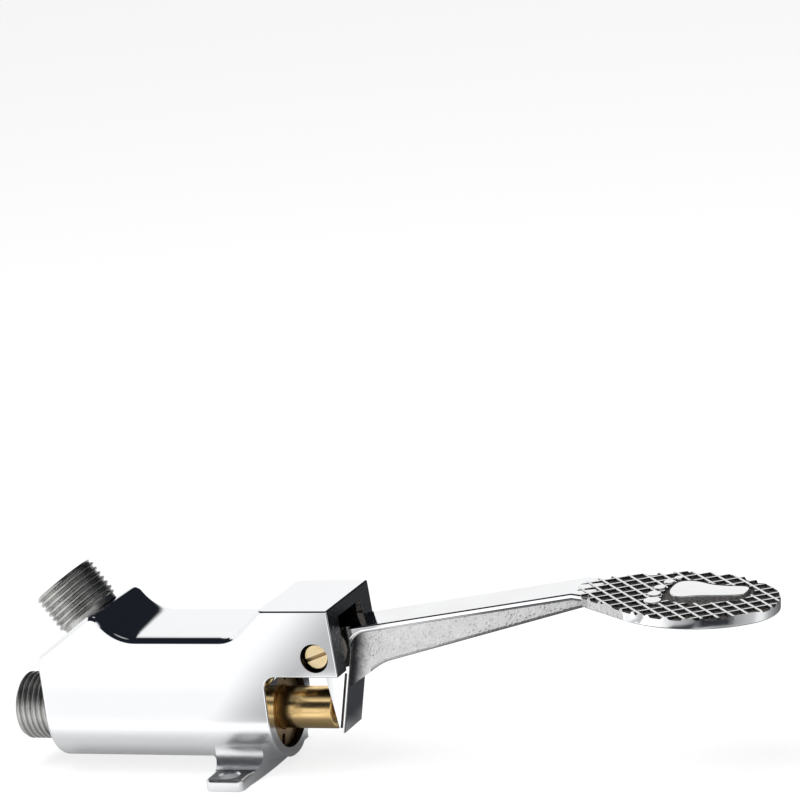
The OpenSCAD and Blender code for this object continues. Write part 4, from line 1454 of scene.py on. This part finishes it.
@dataclass
class Studio:
    """Floor, light and camera, in metres."""

    eye: Triple = (0.5235, -1.0510, 0.3826)
    right: Triple = (0.9199, 0.3732, -0.1201)
    up: Triple = (0.0220, 0.2566, 0.9663)
    lens: float = 180.0
    sensor: float = 36.0
    aim: Triple = (0.04, 0, 0)
    white: Triple = (1.0, 1.0, 1.0)
    floor_dark: Triple = (0.012, 0.014, 0.018)
    floor_grey: Triple = (0.8, 0.8, 0.8)
    sky_dark: Triple = (0.012, 0.014, 0.020)
    sky_grey: Triple = (0.55, 0.55, 0.56)
    surround: Sequence[Point] = (
        (0.12, 1.0), (0.156, 0.9), (0.186, 0.7), (0.218, 0.42), (0.282, 0.26), (0.3, 0.12), (0.318, 0.01),
        (0.41, 0.02), (0.43, 0.13), (0.444, 0.27), (0.504, 0.45), (0.53, 0.72), (0.558, 0.76), (0.603, 0.36),
        (0.65, 0.2), (0.72, 0.1), (0.8, 0.08), (0.86, 0.03), (0.92, 0.03), (0.955, 1.0),
    )

    def camera(self) -> None:
        """The camera at the photograph's angle."""
        lens = bpy.data.cameras.new("camera")
        lens.lens, lens.sensor_width = self.lens, self.sensor
        lens.clip_start, lens.clip_end = 0.05, 20.0
        holder = bpy.data.objects.new("camera", lens)
        side = Vector(self.right).normalized()
        back = side.cross(Vector(self.up)).normalized()
        turn = Matrix((side, back.cross(side), back)).transposed().to_4x4()
        holder.matrix_world = Matrix.Translation(self.eye) @ turn
        bpy.context.scene.collection.objects.link(holder)
        bpy.context.scene.camera = holder

    def floor_level(self, kit: Shader) -> Sock:
        """How bright the floor is in the gloss of the valve.

        Args:
            kit: The floor's shader.

        Returns:
            1 where it is white, 0 where it is dark.
        """
        x, y, _ = kit.parts(kit.place())
        # A dark card in front, aslant to the barrel.
        band = ((x - 0.036) * 0.809 + (y + 0.0067) * 0.588).size().until(0.022, 0.045)
        card = band * y.until(-0.05, -0.03) * y.step(-0.175, -0.155) * 0.92
        # Grey that deepens along the barrel towards the mouth.
        along = x - (y + 0.0162) * 0.44
        falling = (along - 0.0095 + (y + 0.122) * 0.283).step(-0.015, 0.015) * 0.45 + along.step(-0.03, 0.005) * 0.16
        falling = falling * along.until(0.042, 0.048)
        falling = falling.top(along.step(-0.12, -0.09) * y.step(-0.125, -0.095) * y.until(-0.08, -0.04) * 0.2)
        falling = falling * (1 - along.step(0.018, 0.028) * y.step(-0.125, -0.105)) * y.until(-0.075, -0.04)
        # The shade close under the barrel.
        contact = y.size().until(0.016, 0.042) * (0.45 + x.step(-0.01, 0.012) * 0.35) * x.until(0.03, 0.05)
        # The shade below the arm, inside a circle about the pedal.
        far_x, far_y = x - 0.15, y + 0.03
        away = (far_x * far_x + far_y * far_y).step(0.0100, 0.0132)
        behind = x.step(0.02, 0.045) * (0.5 + y.step(-0.012, 0.008) * 0.45) * y.step(-0.05, -0.03)
        behind = behind.top(x.step(0.05, 0.07) * y.step(-0.13, -0.10) * 0.85) * (1 - away)
        # Panels in a ring beyond that circle, left out behind the barrel.
        stops = [(at, (value, value, value)) for at, value in self.surround]
        ring = kit.add("ShaderNodeValToRGB", {"stops": stops}, {"Fac": far_y.turn(far_x)})
        clear = x.until(0.03, 0.045) * y.step(0.02, 0.04)
        return (1 - behind) * (1 - card) * (1 - falling) * (1 - contact) * (1 - away * (1 - ring) * (1 - clear))

    def floor(self) -> None:
        """A plain white floor that keeps a soft shadow."""
        bm = bmesh.new()
        bmesh.ops.create_grid(bm, x_segments=1, y_segments=1, size=4.0)
        mesh = bpy.data.meshes.new("floor")
        bm.to_mesh(mesh)
        bm.free()
        floor = bpy.data.objects.new("floor", mesh)
        bpy.context.scene.collection.objects.link(floor)
        material = bpy.data.materials.new("white_floor")
        material.use_nodes = True
        material.cycles.emission_sampling = "NONE"
        kit = Shader(material.node_tree)
        camera, glossy, through = kit.rays()
        shade = kit.blend(glossy * (1 - self.floor_level(kit)), self.white, self.floor_dark)
        glow = kit.add("ShaderNodeEmission", {}, {"Color": shade, "Strength": 1.02})
        matt = kit.add("ShaderNodeBsdfDiffuse", {}, {"Color": shade})
        seen = kit.add("ShaderNodeMixShader", {}, {0: 0.25 + glossy * 0.4, 1: glow, 2: matt})
        plain = kit.add("ShaderNodeBsdfDiffuse", {}, {"Color": (*self.floor_grey, 1.0)})
        skin = kit.add("ShaderNodeMixShader", {}, {0: camera.top(glossy).top(through), 1: plain, 2: seen})
        kit.node("ShaderNodeOutputMaterial", {}, {"Surface": skin})
        mesh.materials.append(material)

    def world(self) -> None:
        """Bright low surroundings under a dark ceiling, as round a polished product."""
        world = bpy.data.worlds.new("studio")
        bpy.context.scene.world = world
        world.use_nodes = True
        world.cycles.sampling_method = "NONE"
        kit = Shader(world.node_tree)
        x, y, z = kit.parts(kit.add("ShaderNodeTexCoord", {}, {}, "Generated"))
        camera, glossy, through = kit.rays()
        to_inlet, to_front = 0 - x, 0 - y
        # The ceiling's edge, lower in front and higher beyond the inlet.
        drop = to_front.step(0.2, 0.6) * x.until(0.0, 0.3) * 0.22
        high = (z + drop - to_inlet.step(0.6, 0.85) * 0.3).step(0.33, 0.43)
        # White panels behind the inlet and before the pedal, and a grey one overhead.
        high = high * (1 - to_inlet.step(0.5, 0.7) * y.step(0.3, 0.5))
        high = high * (1 - x.step(0.4, 0.7) * to_front.step(0.35, 0.5) * z.until(0.5, 0.6))
        high = high * (1 - z.step(0.955, 0.985) * 0.4)
        behind = x.step(-0.22, 0.02) * y.step(0.1, 0.4)
        studio = kit.blend((1 - high) * (1 - behind), self.sky_dark, self.white)
        tint = kit.blend(glossy.top(through), self.sky_grey, studio)
        sky = kit.add("ShaderNodeBackground", {}, {"Color": kit.blend(camera, tint, self.white), "Strength": 1.0})
        kit.node("ShaderNodeOutputWorld", {}, {"Surface": sky})

    def lamp(self, name: str, at: Triple, size: float, power: float) -> None:
        """A soft box that lights matt surfaces.

        Args:
            name: Name of the lamp.
            at: Its place in metres.
            size: Length of its sides in metres.
            power: Watts.
        """
        data = bpy.data.lights.new(name, "AREA")
        data.energy, data.size = power, size
        lamp = bpy.data.objects.new(name, data)
        lamp.location = at
        lamp.rotation_euler = (Vector(self.aim) - Vector(at)).to_track_quat("-Z", "Y").to_euler()
        lamp.visible_glossy = False
        bpy.context.scene.collection.objects.link(lamp)

    def make(self) -> None:
        """Sets the whole stage."""
        self.camera()
        self.floor()
        self.world()
        self.lamp("top_box", (-0.2, -0.3, 1.2), 0.9, 14.0)
        self.lamp("front_box", (0.5, -1.0, 0.7), 0.6, 5.0)
        bpy.context.scene.view_settings.view_transform = "Standard"


def main() -> None:
    """Builds every sub-assembly in order."""
    logging.basicConfig(level=logging.INFO, format="%(message)s")
    Studio().make()
    casting = Casting()
    casting.make()
    Stub(
        "inlet_stub", "inlet_nipple", place_at(DATUM.inlet, DATUM.axis, -QUARTER), 0.0, 13.4, 9.9, 10.0,
        [(7.25, -6.0), (7.25, 4.5), (5.5, 4.5), (5.5, 12.9), (6.3, 14.0)],
    ).make()
    Stub(
        "outlet_stub", "outlet_nipple", casting.outlet_place(), 1.6, 14.4, 9.5, 8.0,
        [(5.5, -6.0), (5.5, 1.6), (7.25, 1.6), (7.25, 13.9), (8.05, 15.0)],
    ).make()
    for assembly in (Works(), Lever(), Hidden()):
        assembly.make()


if __name__ == "__main__":
    main()
